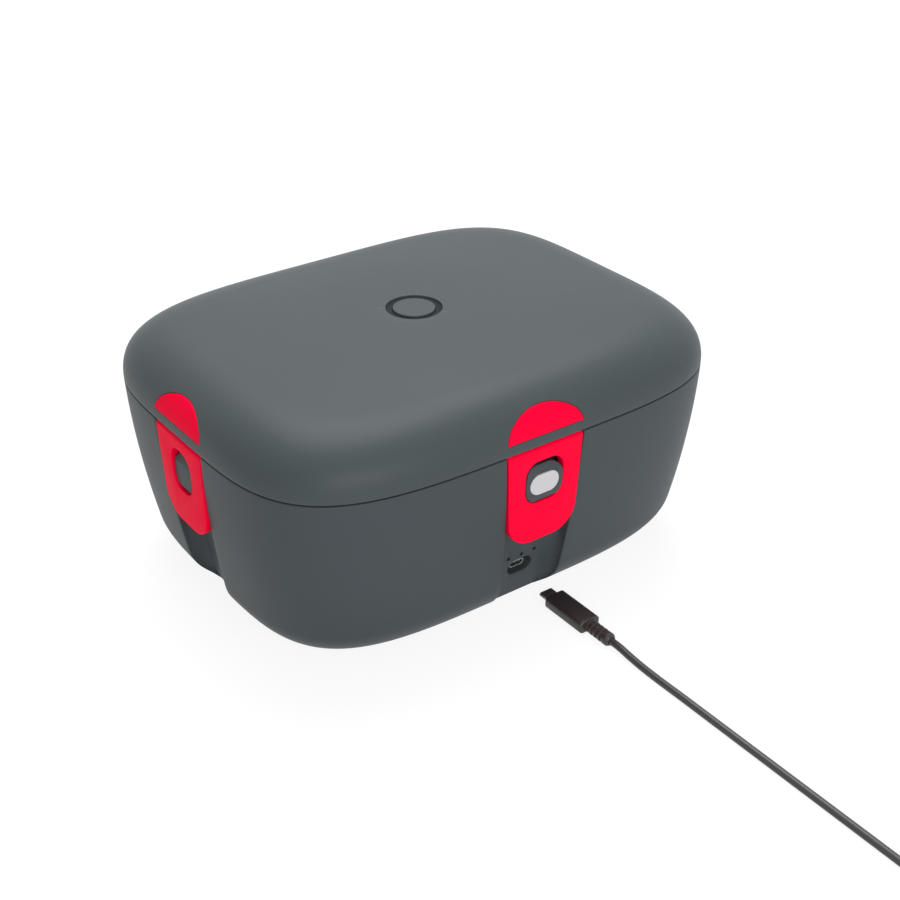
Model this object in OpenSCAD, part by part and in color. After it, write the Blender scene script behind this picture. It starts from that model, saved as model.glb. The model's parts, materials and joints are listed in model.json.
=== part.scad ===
// Heated lunch box: a rounded base with a battery and a heated well, a lift-off lid
// held by four strap latches, and a charging lead that lies in front of it.
// Millimetres. +Z is up, the front (the long side with the socket) faces -Y,
// and the origin is on the ground under the middle of the box.

/* [Overall] */
// Length of the box at the parting line
box_l = 274.8; // [262:0.2:300]
// Width of the box, front to back, at the parting line
box_w = 217.2; // [206:0.2:240]
// Squareness of the plan outline, as a superellipse power
plan_power = 4.15; // [3.6:0.05:4.8]
// Height of the base, from its underside to the parting line
base_h = 100.3; // [96:0.1:112]
// Height of the lid's shoulder above the parting line
shoulder_h = 27.3; // [25:0.1:32]
// Rise of the crown above the shoulder
crown_h = 2.8; // [2:0.1:4]

/* [Walls] */
// Thickness of the base shell
base_wall = 2.5; // [2:0.1:3]
// Thickness of the lid shell
lid_wall = 2.2; // [2:0.1:2.6]
// Width of the lid's thick rim
rim_wall = 5.2; // [5:0.1:6]
// Height of the lid's thick rim
rim_t = 3; // [2.5:0.1:3.5]
// Thickness of the deck on top of the base
deck_t = 2.6; // [2.2:0.1:3]
// Open seam between lid and base
seam = 0.4; // [0.3:0.1:0.5]

/* [Base form] */
// How far the sides lean in on a straight line, top to bottom
side_lean = 3.1; // [2:0.1:4]
// How far the sides curve in beyond that
side_curve = 9.9; // [8:0.1:11]
// Radius where the sides meet the underside
foot_r = 20; // [18:0.5:22]

/* [Lid form] */
// Width of the lid's rounded shoulder, seen from above
shoulder_w = 35.7; // [32:0.1:38]
// Fullness of the shoulder's curve
shoulder_power = 2.37; // [2:0.01:2.8]

/* [Latches] */
// Width of the channel that a strap lies in, at the parting line
channel_w = 47; // [44:0.2:50]
// Narrowing of the channel on each side per millimetre of depth
channel_taper = 0.058; // [0.04:0.002:0.07]
// Depth of the channel
channel_d = 9; // [8.6:0.1:9.6]
// Side gap between a strap and its channel
strap_gap = 0.35; // [0.3:0.05:0.5]
// Distance from the parting line to a strap's tip
strap_len = 53.5; // [50:0.5:58]
// Thickness of a strap at its pin
strap_t = 5.6; // [5.4:0.1:6]
// Thickness of a strap at its tip
strap_tip_t = 3.3; // [2.8:0.1:3.8]
// Radius of a strap's lower corners
strap_corner_r = 14.5; // [12:0.5:16]
// Radius of a strap's pin
pin_r = 0.9; // [0.8:0.05:1]
// Running clearance of a strap on its pin, on the radius
pin_play = 0.05; // [0.03:0.01:0.08]
// Width of a lug that holds the pin
lug_w = 2.2; // [2:0.1:2.4]
// Radius of a lug around the pin
lug_r = 1.7; // [1.6:0.05:1.8]
// Width of a strap's window
window_w = 23; // [22:0.1:24]
// Height of a strap's window
window_h = 23; // [22:0.5:25]
// Depth of the window's top edge below the parting line
window_top = 8.4; // [8:0.1:10]
// Corner radius of the window
window_r = 7.75; // [7:0.25:9]
// Gap between a knob and its window
knob_gap = 0.35; // [0.3:0.05:0.5]
// Open gap above a knob in its window
knob_head = 3.6; // [3:0.1:5]
// Width of the pale inlay on the front knob
pill_w = 17.4; // [16:0.1:18]
// Height of the pale inlay
pill_h = 11; // [10:0.1:12]

/* [Half-moon covers] */
// Height of a cover's flat edge above the parting line
moon_low = 5.5; // [5:0.1:7]
// Height of a cover's highest point above the parting line
moon_top = 19; // [17:0.1:21]
// Width of a cover
moon_w = 45; // [42:0.1:47]
// How far a cover stands out of the lid
moon_proud = 0.2; // [0.1:0.1:0.4]
// Thickness of a cover within the lid
moon_t = 1; // [0.8:0.1:1.1]

/* [Power button] */
// Outer radius of the dark light ring
ring_r = 14.5; // [13:0.1:16]
// Radius of the button's disc
button_r = 11; // [10:0.1:11.6]
// Depth of the light ring's face below the crown
ring_drop = 0.8; // [0.5:0.1:1.2]
// Travel of the button
button_travel = 1; // [0.5:0.1:1.2]
// Thickness of the button's disc
button_t = 3; // [2.6:0.1:3.2]
// Wire diameter of the button's spring
spring_wire = 0.7; // [0.5:0.05:0.8]
// Turns of the button's spring
spring_turns = 4; // [3:1:5]

/* [Charging port] */
// Height of the socket above the base's underside
port_z = 21.3; // [20:0.1:23]
// Width of the recess around the socket
port_w = 15; // [14:0.1:17]
// Height of the recess around the socket
port_h = 9; // [8:0.1:10]
// Depth of the recess
port_d = 6.5; // [5:0.1:7]
// Width of the socket's shell
socket_w = 8.94; // [8.9:0.01:9]
// Height of the socket's shell
socket_h = 3.26; // [3.2:0.01:3.3]
// Distance between neighbouring indicator lights
led_pitch = 8.2; // [7:0.1:9]
// Height of the indicator lights above the socket
led_rise = 7.6; // [7.2:0.1:9]
// Radius of an indicator light
led_r = 1; // [0.8:0.1:1.2]

/* [Food well] */
// Room under the heated well, above the base plate
belly_h = 27.5; // [26.5:0.1:30]
// Wall of the heated well
well_t = 1.2; // [1:0.1:1.5]
// Wall of the food dish
dish_t = 1.2; // [1:0.1:1.5]
// Gap between dish and well
dish_gap = 1; // [0.6:0.1:1.5]
// How far the well narrows on each side from top to bottom
well_draft = 4.5; // [3:0.1:6]
// Width of the collar's shelf that the well hangs on
shelf_w = 4.5; // [4:0.1:5]
// Thickness of the insulation
jacket_t = 3.2; // [2.5:0.1:3.5]

/* [Battery and feet] */
// Radius of a battery cell
cell_r = 9.2; // [9:0.05:9.3]
// Length of a battery cell
cell_l = 65; // [64:0.5:66]
// Height of the feet below the base
foot_h = 1; // [0.8:0.1:1.5]
// Radius of a foot
foot_pad_r = 7; // [6:0.5:8]

/* [Charging lead] */
// Diameter of the lead
lead_d = 3.8; // [3.4:0.1:3.9]
// Radius of the coil's outer turn, to the middle of the lead
coil_r = 26.4; // [25:0.1:28]
// Turns in each of the coil's two layers
coil_turns = 2.75; // [2:0.25:2.75]
// Step between neighbouring turns and layers
coil_step = 4.3; // [4.25:0.05:4.5]
// Width of the grip on the near plug
grip_w = 12.6; // [12:0.1:13]
// Thickness of the grip on the near plug
grip_t = 7.2; // [6.8:0.1:8]

/* [Hidden] */
sides = ["front", "right", "back", "left"];

// Colours
slate = [0.33, 0.35, 0.36];
slate_dark = [0.22, 0.23, 0.24];
red = [0.9, 0.04, 0.2];
pale = [0.84, 0.84, 0.84];
near_black = [0.09, 0.08, 0.08];
metal = [0.78, 0.79, 0.8];
board_green = [0.05, 0.3, 0.16];

// Small clearances
touch = 0.05;
fit_gap = 0.2;
soft_gap = 0.3;
moon_gap = 0.1;
$fn = 48;

// Heights
part_z = base_h + foot_h;
deck_z = part_z - seam;
top_z = part_z + shoulder_h + crown_h;

// The side that each number stands for: 0 front, 1 right, 2 back, 3 left
half = [box_w / 2, box_l / 2, box_w / 2, box_l / 2];

// Turns a shape that is drawn for the front to side k
module at_side(k) {
    rotate([0, 0, 90 * k]) children();
}

// ---- Plan outline and lofts ----

ring_n = 64;

// One closed ring of the plan outline at height z
function ring(a, b, p, z) = [
    for (i = [0 : ring_n - 1])
        let (c = cos(360 * i / ring_n), s = sin(360 * i / ring_n))
        [a * sign(c) * pow(abs(c), 2 / p), b * sign(s) * pow(abs(s), 2 / p), z]
];

// Plan ring that lies inset from the widest outline
function plan(inset, z, p = plan_power) = ring(box_l / 2 - inset, box_w / 2 - inset, p, z);

// Solid through a list of rings, lowest first
module loft(rings) {
    n = len(rings[0]);
    last = len(rings) - 1;
    polyhedron(
        points = [for (r = rings) each r],
        faces = [
            [for (i = [0 : n - 1]) i],
            for (j = [0 : last - 1]) for (i = [0 : n - 1]) each [
                [j * n + i, (j + 1) * n + i, (j + 1) * n + (i + 1) % n],
                [j * n + i, (j + 1) * n + (i + 1) % n, j * n + (i + 1) % n]
            ],
            [for (i = [n - 1 : -1 : 0]) last * n + i]
        ],
        convexity = 6
    );
}

// Flat plate or straight block with the plan outline
module plan_block(inset, z0, z1) {
    loft([plan(inset, z0), plan(inset, z1)]);
}

// Rectangle with exact round corners, centred
module round_rect(w, h, r) {
    square([w - 2 * r, h], center = true);
    square([w, h - 2 * r], center = true);
    for (x = [-1, 1], y = [-1, 1])
        translate([x * (w / 2 - r), y * (h / 2 - r)]) circle(r);
}

// Draws a front-view outline (x, height) and pushes it from y0 to y1
module front_prism(y0, y1) {
    translate([0, y1, 0]) rotate([90, 0, 0]) linear_extrude(y1 - y0) children();
}

// Draws a side-view outline (y, height) and pushes it across a width
module side_prism(w) {
    rotate([90, 0, 90]) translate([0, 0, -w / 2]) linear_extrude(w) children();
}

// ---- Base form ----

straight_h = base_h - foot_r;
plate_t = 2.5;
ledge_t = 2.5;
round_steps = 6;
side_steps = 5;

// How far the side has leaned in at a depth below the parting line
function side_in(d) = side_lean * d / base_h + side_curve * pow(d / base_h, 2);

// Rings of the base for a wall offset and a corner radius, from the bottom up to height z1
function base_rings(wall, r, z1) = concat(
    [for (i = [0 : round_steps])
        let (t = 90 * (1 - i / round_steps), d = straight_h + r * sin(t))
        plan(side_in(d) + wall + r * (1 - cos(t)), part_z - d)],
    [for (i = [1 : side_steps])
        let (d0 = straight_h, d1 = part_z - z1, d = d0 + (d1 - d0) * i / side_steps)
        plan(side_in(d) + wall, part_z - d)]
);

// Distance in from the widest outline to the channel floor
function floor_in(d) = channel_d + side_in(d);
function channel_half(d) = channel_w / 2 - channel_taper * d;

// Space of one channel, or with extra > 0 the thicker block that backs it
module channel_block(h, extra) {
    depths = [0, 20, 40, 60, 80, base_h];
    up = 2;
    intersection() {
        side_prism(channel_w + 20) polygon(concat(
            [[-h - 6, part_z - base_h], [-h - 6, part_z + up],
             [-(h - floor_in(0) - extra), part_z + up]],
            [for (d = depths) [-(h - floor_in(d) - extra), part_z - d]]
        ));
        front_prism(-h - 5, 0) polygon([
            [-channel_half(-up) - extra, part_z + up],
            [-channel_half(base_h) - extra, part_z - base_h],
            [channel_half(base_h) + extra, part_z - base_h],
            [channel_half(-up) + extra, part_z + up]
        ]);
    }
}

// Knob: outline in the front view, and the plane between its post and its soft cap
window_z = part_z - window_top - window_h / 2;
knob_w = window_w - 2 * knob_gap;
knob_h = window_h - knob_gap - knob_head;
knob_z = part_z - window_top - window_h + knob_gap + knob_h / 2;
post_margin = 1.4;
post_in = strap_t + soft_gap;

module knob_post(h) {
    front_prism(-h + post_in, -h + channel_d + 4)
        translate([0, knob_z])
        round_rect(knob_w - 2 * post_margin, knob_h - 2 * post_margin, window_r - post_margin - 1);
}

// Strap pin, its lugs, and the pockets that the lugs drop into
pin_in = strap_t / 2;
pin_z = part_z - strap_t / 2 - fit_gap;
lug_x = channel_half(0) - 0.1;
lug_play = 0.3;

module lug_pocket(h) {
    for (x = [-1, 1])
        translate([x * (lug_x + lug_w / 2 + lug_play / 2 - 0.3), -h + pin_in, pin_z + 5])
            cube([lug_w + lug_play + 0.6, 2 * (lug_r + lug_play), 10 + 2 * (lug_r + lug_play)],
                center = true);
}

// Opening of the deck, and the collar that hangs in it
rebate_t = 1.2;
collar_lip_in = channel_d + base_wall + 0.8;
opening_in = collar_lip_in + 2;

// Port and lights on the channel floor
socket_z = foot_h + port_z;
port_depth = part_z - socket_z;
port_face = -(half[0] - floor_in(port_depth));
port_back = port_face + port_d;
cup_t = 1.8;
light_z = socket_z + led_rise;
light_face = -(half[0] - floor_in(part_z - light_z));
light_l = 5;

// Base plate and its screws, placed from the plate's edges
plate_in = 45.4;
plate_gap = 0.3;
plate_x = box_l / 2 - plate_in;
plate_y = box_w / 2 - plate_in;
ledge_in = plate_in + 6;
screw_x = plate_x - 22;
screw_y = plate_y - 13.2;
screw_r = 1.5;
screw_l = 8;
screw_head_r = 2.8;
screw_head_t = 1.2;
boss_r = 4.2;
boss_h = screw_l + 1;
ledge_z = foot_h + plate_t;

module corners(x, y) {
    for (sx = [-1, 1], sy = [-1, 1]) translate([sx * x, sy * y, 0]) children();
}

module base_cavity() {
    difference() {
        loft(base_rings(base_wall, foot_r - plate_t - ledge_t, deck_z - deck_t));
        for (k = [0 : 3]) at_side(k) channel_block(half[k], base_wall);
        front_prism(port_face - 3, port_back + cup_t) translate([0, socket_z])
            round_rect(port_w + 2 * cup_t, port_h + 2 * cup_t, port_h / 2 + cup_t - touch);
        corners(screw_x, screw_y) translate([0, 0, ledge_z]) cylinder(r = boss_r, h = boss_h);
    }
}

module outer_shell() {
    color(slate) union() {
        difference() {
            loft(base_rings(0, foot_r, deck_z));
            base_cavity();
            plan_block(opening_in, deck_z - deck_t - 1, deck_z + 1);
            plan_block(collar_lip_in, deck_z - rebate_t, deck_z + 2);
            for (k = [0 : 3]) at_side(k) {
                channel_block(half[k], 0);
                lug_pocket(half[k]);
            }
            front_prism(port_face - 5, port_back) translate([0, socket_z])
                round_rect(port_w, port_h, port_h / 2 - touch);
            front_prism(port_back - 1, port_back + cup_t + 1) translate([0, socket_z])
                round_rect(socket_w + 0.1, socket_h + 0.1, socket_h / 2);
            for (x = [-1 : 1]) translate([x * led_pitch, light_face - 2, light_z])
                rotate([-90, 0, 0]) cylinder(r = led_r, h = light_l + 4);
            plan_block(plate_in, foot_h - 1, ledge_z);
            difference() {
                plan_block(ledge_in, foot_h, ledge_z + ledge_t + 1);
                corners(screw_x, screw_y) translate([0, 0, ledge_z]) cylinder(r = boss_r, h = boss_h);
            }
            corners(screw_x, screw_y) translate([0, 0, ledge_z - 1]) cylinder(r = screw_r, h = boss_h);
            for (i = [-1 : 1]) translate([contact_x + i * contact_pitch, contact_y, deck_z - deck_t - 1])
                cylinder(r = contact_r, h = deck_t + 2);
        }
        for (k = [0 : 3]) at_side(k) knob_post(half[k]);
    }
}

// Sprung contacts on the deck that feed the lid
contact_x = box_l / 2 - 85.4;
contact_y = box_w / 2 - 8.5;
contact_pitch = 6;
contact_r = 1;
pad_r = 1.6;
pad_t = 0.8;

module contact_pins() {
    color("goldenrod") for (i = [-1 : 1])
        translate([contact_x + i * contact_pitch, contact_y, 0]) {
            translate([0, 0, deck_z - deck_t - 3]) cylinder(r = contact_r, h = deck_t + 3.2);
            translate([0, 0, deck_z - deck_t - 1.5]) cylinder(r = contact_r + 0.6, h = 1.5);
        }
}

module contact_pads() {
    color("gold") for (i = [-1 : 1])
        translate([contact_x + i * contact_pitch, contact_y, part_z])
            cylinder(r = pad_r, h = pad_t);
}

// ---- Underside ----

foot_x = plate_x - 18;
foot_y = plate_y - 29.2;
foot_set = 0.8;
tray_x = [-cell_l - 4, cell_l + 4];
board_post_r = 3;
board_x = 27;
board_y0 = -51;
board_y1 = -18;
board_z = socket_z - socket_h / 2;
board_t = 1.6;

module base_plate() {
    color(slate_dark) difference() {
        union() {
            plan_block(plate_in + plate_gap, foot_h, ledge_z);
            for (x = [-1, 1], y = [board_y0, board_y1])
                translate([x * board_x, y, ledge_z - 1])
                    cylinder(r = board_post_r, h = board_z - board_t - ledge_z + 1);
        }
        corners(screw_x, screw_y) translate([0, 0, foot_h - 1]) cylinder(r = screw_r + 0.3, h = 10);
        corners(screw_x, screw_y) translate([0, 0, foot_h - 1])
            cylinder(r = screw_head_r + 0.2, h = 1 + screw_head_t);
        corners(foot_x, foot_y) translate([0, 0, foot_h - 1]) cylinder(r = foot_pad_r, h = 1 + foot_set);
    }
}

module foot(i) {
    color(near_black)
        translate([foot_x * (i % 2 == 0 ? -1 : 1), foot_y * (i < 2 ? -1 : 1), 0])
        cylinder(r = foot_pad_r, h = foot_h + foot_set);
}

module base_screws() {
    color(metal) corners(screw_x, screw_y) {
        translate([0, 0, foot_h]) cylinder(r = screw_head_r, h = screw_head_t);
        translate([0, 0, foot_h + screw_head_t - 0.5]) cylinder(r = screw_r, h = screw_l);
    }
}

// ---- Collar, well and dish ----

collar_t = 3.4;
collar_h = 12;
shelf_t = 2.5;
collar_in = opening_in + fit_gap;
mouth_in = collar_in + collar_t;
shelf_z = deck_z - collar_h + shelf_t;
well_in = mouth_in + shelf_w + 0.5;
well_floor = ledge_z + belly_h;

module collar() {
    color(slate_dark) difference() {
        union() {
            plan_block(collar_in, deck_z - collar_h, deck_z);
            plan_block(collar_lip_in + fit_gap, deck_z - rebate_t, deck_z);
        }
        plan_block(mouth_in, shelf_z, deck_z + 1);
        plan_block(mouth_in + shelf_w, deck_z - collar_h - 1, shelf_z + 1);
    }
}

// Tub that narrows downwards: outer inset at the top, top height, floor height
module tub(inset, z0, z1, r) {
    loft(concat(
        [for (t = [90 : -30 : 0]) plan(inset + well_draft + r * (1 - cos(t)), z0 + r - r * sin(t))],
        [plan(inset, z1)]
    ));
}

tub_r = 8;

module heating_well() {
    color(metal) difference() {
        union() {
            tub(well_in, well_floor, shelf_z + 0.5, tub_r);
            plan_block(mouth_in + 0.4, shelf_z, shelf_z + well_t);
        }
        tub(well_in + well_t, well_floor + well_t, shelf_z + well_t + 1, tub_r - well_t);
    }
}

dish_in = well_in + well_t + dish_gap;
dish_floor = well_floor + well_t + soft_gap;
dish_rim_z = shelf_z + well_t;

module inner_dish() {
    color([0.85, 0.86, 0.87]) difference() {
        union() {
            tub(dish_in, dish_floor, dish_rim_z + 0.5, tub_r - well_t - dish_gap);
            plan_block(mouth_in + 0.7, dish_rim_z, dish_rim_z + dish_t);
        }
        tub(dish_in + dish_t, dish_floor + dish_t, dish_rim_z + dish_t + 1,
            tub_r - well_t - dish_gap - dish_t);
    }
}

jacket_gap = 0.3;
jacket_top = deck_z - collar_h - 0.4;
jacket_low = well_floor + tub_r;

module insulation_jacket() {
    color([0.8, 0.78, 0.7]) difference() {
        loft([plan(well_in - jacket_gap - jacket_t + well_draft, jacket_low),
              plan(well_in - jacket_gap - jacket_t, jacket_top)]);
        loft([plan(well_in - jacket_gap + well_draft, jacket_low - 1),
              plan(well_in - jacket_gap, jacket_top + 1)]);
    }
}

heater_side_in = 62.4;
heater_end_in = 58.6;
heater_l = box_l - 2 * heater_side_in;
heater_w = box_w - 2 * heater_end_in;
heater_t = 2;
heater_corner_r = 10;
sensor_r = 4;
sensor_h = 3;
fuse_r = 1.8;
fuse_l = 16;
fuse_clip = [8, 10, 2];

module heater_plate() {
    color([0.6, 0.35, 0.2]) translate([0, 0, well_floor - heater_t])
        linear_extrude(heater_t) round_rect(heater_l, heater_w, heater_corner_r);
}

module temperature_sensor() {
    color(pale) translate([-heater_l / 2 - 3 * sensor_r, 0, well_floor - sensor_h]) {
        cylinder(r = sensor_r, h = sensor_h);
        translate([-1, -3, -2]) cube([2, 6, 2.5]);
    }
}

module thermal_fuse() {
    color(metal) translate([heater_l / 2 + fuse_l - 2, 0, well_floor - 2 * fuse_clip[2]]) {
        translate([0, -fuse_l / 2, fuse_r - 0.3]) rotate([-90, 0, 0]) cylinder(r = fuse_r, h = fuse_l);
        translate([-fuse_clip[0] / 2, -fuse_clip[1] / 2, fuse_clip[2]]) cube(fuse_clip);
    }
}

// ---- Battery and board ----

tray_t = 1.5;
cell_y = [12, 32];
cell_z = ledge_z + tray_t + 0.2 + cell_r;
tray_y0 = cell_y[0] - cell_r - tray_t - 0.3;
tray_y1 = cell_y[1] + cell_r + tray_t + 0.3;
tray_h = 12;

module battery_holder() {
    color(near_black) difference() {
        translate([tray_x[0], tray_y0, ledge_z])
            cube([tray_x[1] - tray_x[0], tray_y1 - tray_y0, tray_h]);
        for (s = [-1, 1])
            translate([s * (cell_l / 2 + 1.5) - cell_l / 2 - 0.5, tray_y0 + tray_t, ledge_z + tray_t])
                cube([cell_l + 1, tray_y1 - tray_y0 - 2 * tray_t, tray_h]);
    }
}

module battery_cell(i) {
    color([0.2, 0.45, 0.7])
        translate([(i % 2 == 0 ? -1 : 1) * (cell_l / 2 + 1.5) - cell_l / 2,
            cell_y[i < 2 ? 0 : 1], cell_z])
        rotate([0, 90, 0]) cylinder(r = cell_r, h = cell_l);
}

module control_board() {
    color(board_green)
        translate([-board_x - 4, port_back + cup_t + 0.3, board_z - board_t])
        cube([2 * board_x + 8, board_y1 + 4 - port_back - cup_t - 0.3, board_t]);
}

// Chips on the board: place from its front edge, then size
chips = [[-16, 22.5, 7, 7, 1.6], [-2, 30.5, 9, 9, 2], [12, 22.5, 5, 6, 1.4], [18, 40.5, 10, 10, 4]];
can_r = 2.5;
can_h = 5;

module board_parts() {
    color(near_black) {
        for (c = chips) translate([c[0], port_back + c[1], board_z]) cube([c[2], c[3], c[4]]);
        for (i = [0 : 4]) translate([(3.2 * i - 8) * can_r, board_y1 - 14, board_z])
            cylinder(r = can_r, h = can_h);
    }
}

module usb_socket() {
    wall = 0.3;
    nose = 4;
    color(metal) difference() {
        front_prism(port_back - nose, port_back + 8) translate([0, socket_z])
            round_rect(socket_w, socket_h, socket_h / 2 - 0.01);
        difference() {
            front_prism(port_back - nose - 1, port_back + 7.2) translate([0, socket_z])
                round_rect(socket_w - 2 * wall, socket_h - 2 * wall, socket_h / 2 - wall - 0.01);
            translate([-3.3, port_back - nose + 1, socket_z - 0.35]) cube([6.6, nose + 8, 0.7]);
        }
    }
}

module indicator_lights() {
    color([0.15, 0.16, 0.16]) for (x = [-1 : 1])
        translate([x * led_pitch, light_face, light_z])
            rotate([-90, 0, 0]) cylinder(r = led_r, h = light_l);
}

// ---- Latches ----

strap_lean = strap_t - strap_tip_t;
tip_z = part_z - strap_len;

module strap_outline() {
    top = pin_z + strap_t / 2 + 1;
    h0 = channel_half(strap_t + fit_gap) - strap_gap;
    corner_z = tip_z + strap_corner_r;
    h1 = channel_half(part_z - corner_z) - strap_gap;
    polygon([[-h0, top], [-h1, corner_z], [-h1 + strap_corner_r, tip_z],
        [h1 - strap_corner_r, tip_z], [h1, corner_z], [h0, top]]);
    for (x = [-1, 1]) translate([x * (h1 - strap_corner_r), corner_z]) circle(strap_corner_r);
}

module strap(k) {
    h = half[k];
    color(red) at_side(k) difference() {
        intersection() {
            side_prism(channel_w + 10) {
                translate([-h + pin_in, pin_z]) circle(strap_t / 2);
                polygon([[-h, pin_z], [-h + strap_lean, tip_z - 1],
                    [-h + strap_t, tip_z - 1], [-h + strap_t, pin_z]]);
            }
            front_prism(-h - 2, -h + strap_t + 2) strap_outline();
        }
        front_prism(-h - 3, -h + strap_t + 3) translate([0, window_z])
            round_rect(window_w, window_h, window_r);
        translate([-channel_w, -h + pin_in, pin_z]) rotate([0, 90, 0])
            cylinder(r = pin_r + pin_play, h = 2 * channel_w);
    }
}

module strap_pin(k) {
    l = 2 * (lug_x + lug_w);
    color(metal) at_side(k) translate([-l / 2, -half[k] + pin_in, pin_z])
        rotate([0, 90, 0]) cylinder(r = pin_r, h = l);
}

// The cap's face lies level with the strap's front where the inlay sits
cap_face = strap_lean * (part_z - knob_z) / strap_len;

module knob_cap(k) {
    h = half[k];
    top = knob_z + knob_h / 2;
    low = knob_z - knob_h / 2;
    color(slate) at_side(k) difference() {
        intersection() {
            front_prism(-h, -h + post_in) translate([0, knob_z])
                round_rect(knob_w, knob_h, window_r - knob_gap);
            side_prism(knob_w + 2) polygon([
                [-h + post_in, low], [-h + post_in, top],
                [-h + cap_face + 2.2, top], [-h + cap_face, top - 5],
                [-h + cap_face, low + 1.2], [-h + cap_face + 1, low]
            ]);
        }
        if (k == 0) pill_block(0.9);
    }
}

pill_drop = 0.1;

module pill_block(t) {
    front_prism(-half[0] + cap_face - 5 + 4.7 * (t < 0 ? 1 : 0), -half[0] + cap_face + abs(t))
        translate([0, knob_z - pill_drop]) round_rect(pill_w, pill_h, pill_h / 2 - 0.01);
}

module pill_inlay() {
    color(pale) pill_block(-0.9);
}

// ---- Lid ----

lid_steps = 9;
crown_steps = 4;

function shoulder_in(h) = shoulder_w * (1 - pow(1 - pow(h, shoulder_power), 1 / shoulder_power));

// Rings of the lid for an offset inwards, starting at height z0 above the parting line
function lid_rings(off, z0) = concat(
    [for (i = [0 : lid_steps])
        let (h0 = z0 / (shoulder_h - off), h = h0 + (1 - h0) * sin(90 * i / lid_steps))
        plan(off + shoulder_in(h), part_z + h * (shoulder_h - off))],
    [for (i = [1 : crown_steps])
        let (s = 1 - 0.75 * i / crown_steps, p = plan_power - (plan_power - 2.2) * i / crown_steps)
        ring((box_l / 2 - off - shoulder_w) * s, (box_w / 2 - off - shoulder_w) * s, p,
            part_z + shoulder_h - off + crown_h * (1 - pow((s - 0.25) / 0.75, 2)))]
);

// Side view of the lid's surface at an offset, as far up as the covers reach
moon_steps = 8;
function moon_curve(half_w, off) = [
    for (i = [0 : moon_steps])
        let (h = sin(65 * i / moon_steps))
        [-half_w + off + shoulder_in(h), part_z + h * (shoulder_h - off)]
];

module moon_outline(grow) {
    r = moon_w / 2 + grow;
    low = part_z + moon_low;
    up = moon_top - moon_low + grow;
    polygon(concat(
        [for (a = [0 : 10 : 180])
            [r * cos(a), low + up * sin(a)]],
        [[-r, low - grow], [r, low - grow]]
    ));
}

// Half-moon slab that follows the lid, between two offsets from its surface
module moon_slab(half_w, outer, inner, grow) {
    back = moon_curve(half_w, inner);
    intersection() {
        front_prism(-half_w - 5, -half_w + 30) moon_outline(grow);
        side_prism(moon_w + 4) polygon(concat(
            moon_curve(half_w, outer),
            [for (i = [moon_steps : -1 : 0]) back[i]]
        ));
    }
}

tower_r = 17;
tower_wall = 1.5;
lid_boss_r = 3.5;
lid_screw_x = box_l / 2 - 45.4;
lid_screw_y = box_w / 2 - 48.6;
lid_screw_r = 1.25;
lid_screw_l = 9;
lid_screw_head_r = 2.5;
lid_screw_head_t = 1.2;

module lid_shell() {
    color(slate) union() {
        difference() {
            loft(lid_rings(0, 0));
            difference() {
                loft(lid_rings(lid_wall, rim_t));
                corners(lid_screw_x, lid_screw_y) translate([0, 0, part_z + rim_t])
                    cylinder(r = lid_boss_r, h = shoulder_h);
            }
            plan_block(rim_wall, part_z - 1, part_z + rim_t + touch);
            translate([0, 0, top_z - 20]) cylinder(r = ring_r, h = 30);
            for (k = [0 : 3]) at_side(k) moon_slab(half[k], -3, moon_t + moon_gap, moon_gap);
            corners(lid_screw_x, lid_screw_y) translate([0, 0, part_z])
                cylinder(r = lid_screw_r, h = lid_screw_l + 3);
        }
        for (k = [0 : 3]) at_side(k) for (x = [-1, 1]) lug(half[k], x);
    }
}

module lug(h, x) {
    x0 = x > 0 ? lug_x : -lug_x - lug_w;
    difference() {
        translate([x0, -h + pin_in, 0]) rotate([90, 0, 90]) linear_extrude(lug_w) {
            translate([0, pin_z]) circle(lug_r);
            translate([-lug_r, pin_z]) square([2 * lug_r, part_z - pin_z]);
        }
        translate([x0 - 1, -h + pin_in, pin_z]) rotate([0, 90, 0]) cylinder(r = pin_r, h = lug_w + 2);
    }
}

module moon_cover(k) {
    color(red) at_side(k) moon_slab(half[k], -moon_proud, moon_t, 0);
}

liner_gap = 0.3;
gasket_in = mouth_in + 0.9;
gasket_w = 3;
gasket_low = dish_rim_z + dish_t;

module lid_liner() {
    color(pale) difference() {
        plan_block(rim_wall + liner_gap, part_z, part_z + rim_t);
        corners(lid_screw_x, lid_screw_y) translate([0, 0, part_z - 1]) {
            cylinder(r = lid_screw_r + 0.25, h = rim_t + 2);
            cylinder(r = lid_screw_head_r + 0.2, h = 1 + lid_screw_head_t);
        }
        for (i = [-1 : 1]) translate([contact_x + i * contact_pitch, contact_y, part_z - 1])
            cylinder(r = pad_r, h = 1 + pad_t);
    }
}

// Seal: a tall soft ring that presses on the rim of the dish
module lid_gasket() {
    color(near_black) difference() {
        plan_block(gasket_in, gasket_low, part_z);
        plan_block(gasket_in + gasket_w, gasket_low - 1, part_z + 1);
    }
}

module lid_screws() {
    color(metal) corners(lid_screw_x, lid_screw_y) {
        translate([0, 0, part_z]) cylinder(r = lid_screw_head_r, h = lid_screw_head_t);
        translate([0, 0, part_z + lid_screw_head_t - 0.2]) cylinder(r = lid_screw_r, h = lid_screw_l);
    }
}

// ---- Power button ----

ring_bore = button_r + fit_gap;
ring_depth = 6.4;
ring_low = top_z - ring_depth;
button_skirt = 1;
skirt_z = top_z - button_t - button_skirt;
shell_under = top_z - lid_wall;
ring_flange_t = 1.2;
tower_top = shell_under - ring_flange_t - touch;
switch_board_z = top_z - 13.4;
switch_board_t = 1.6;
switch_h = 3.4;
stem_low = switch_board_z + switch_board_t + switch_h + button_travel + 0.3;

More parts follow.
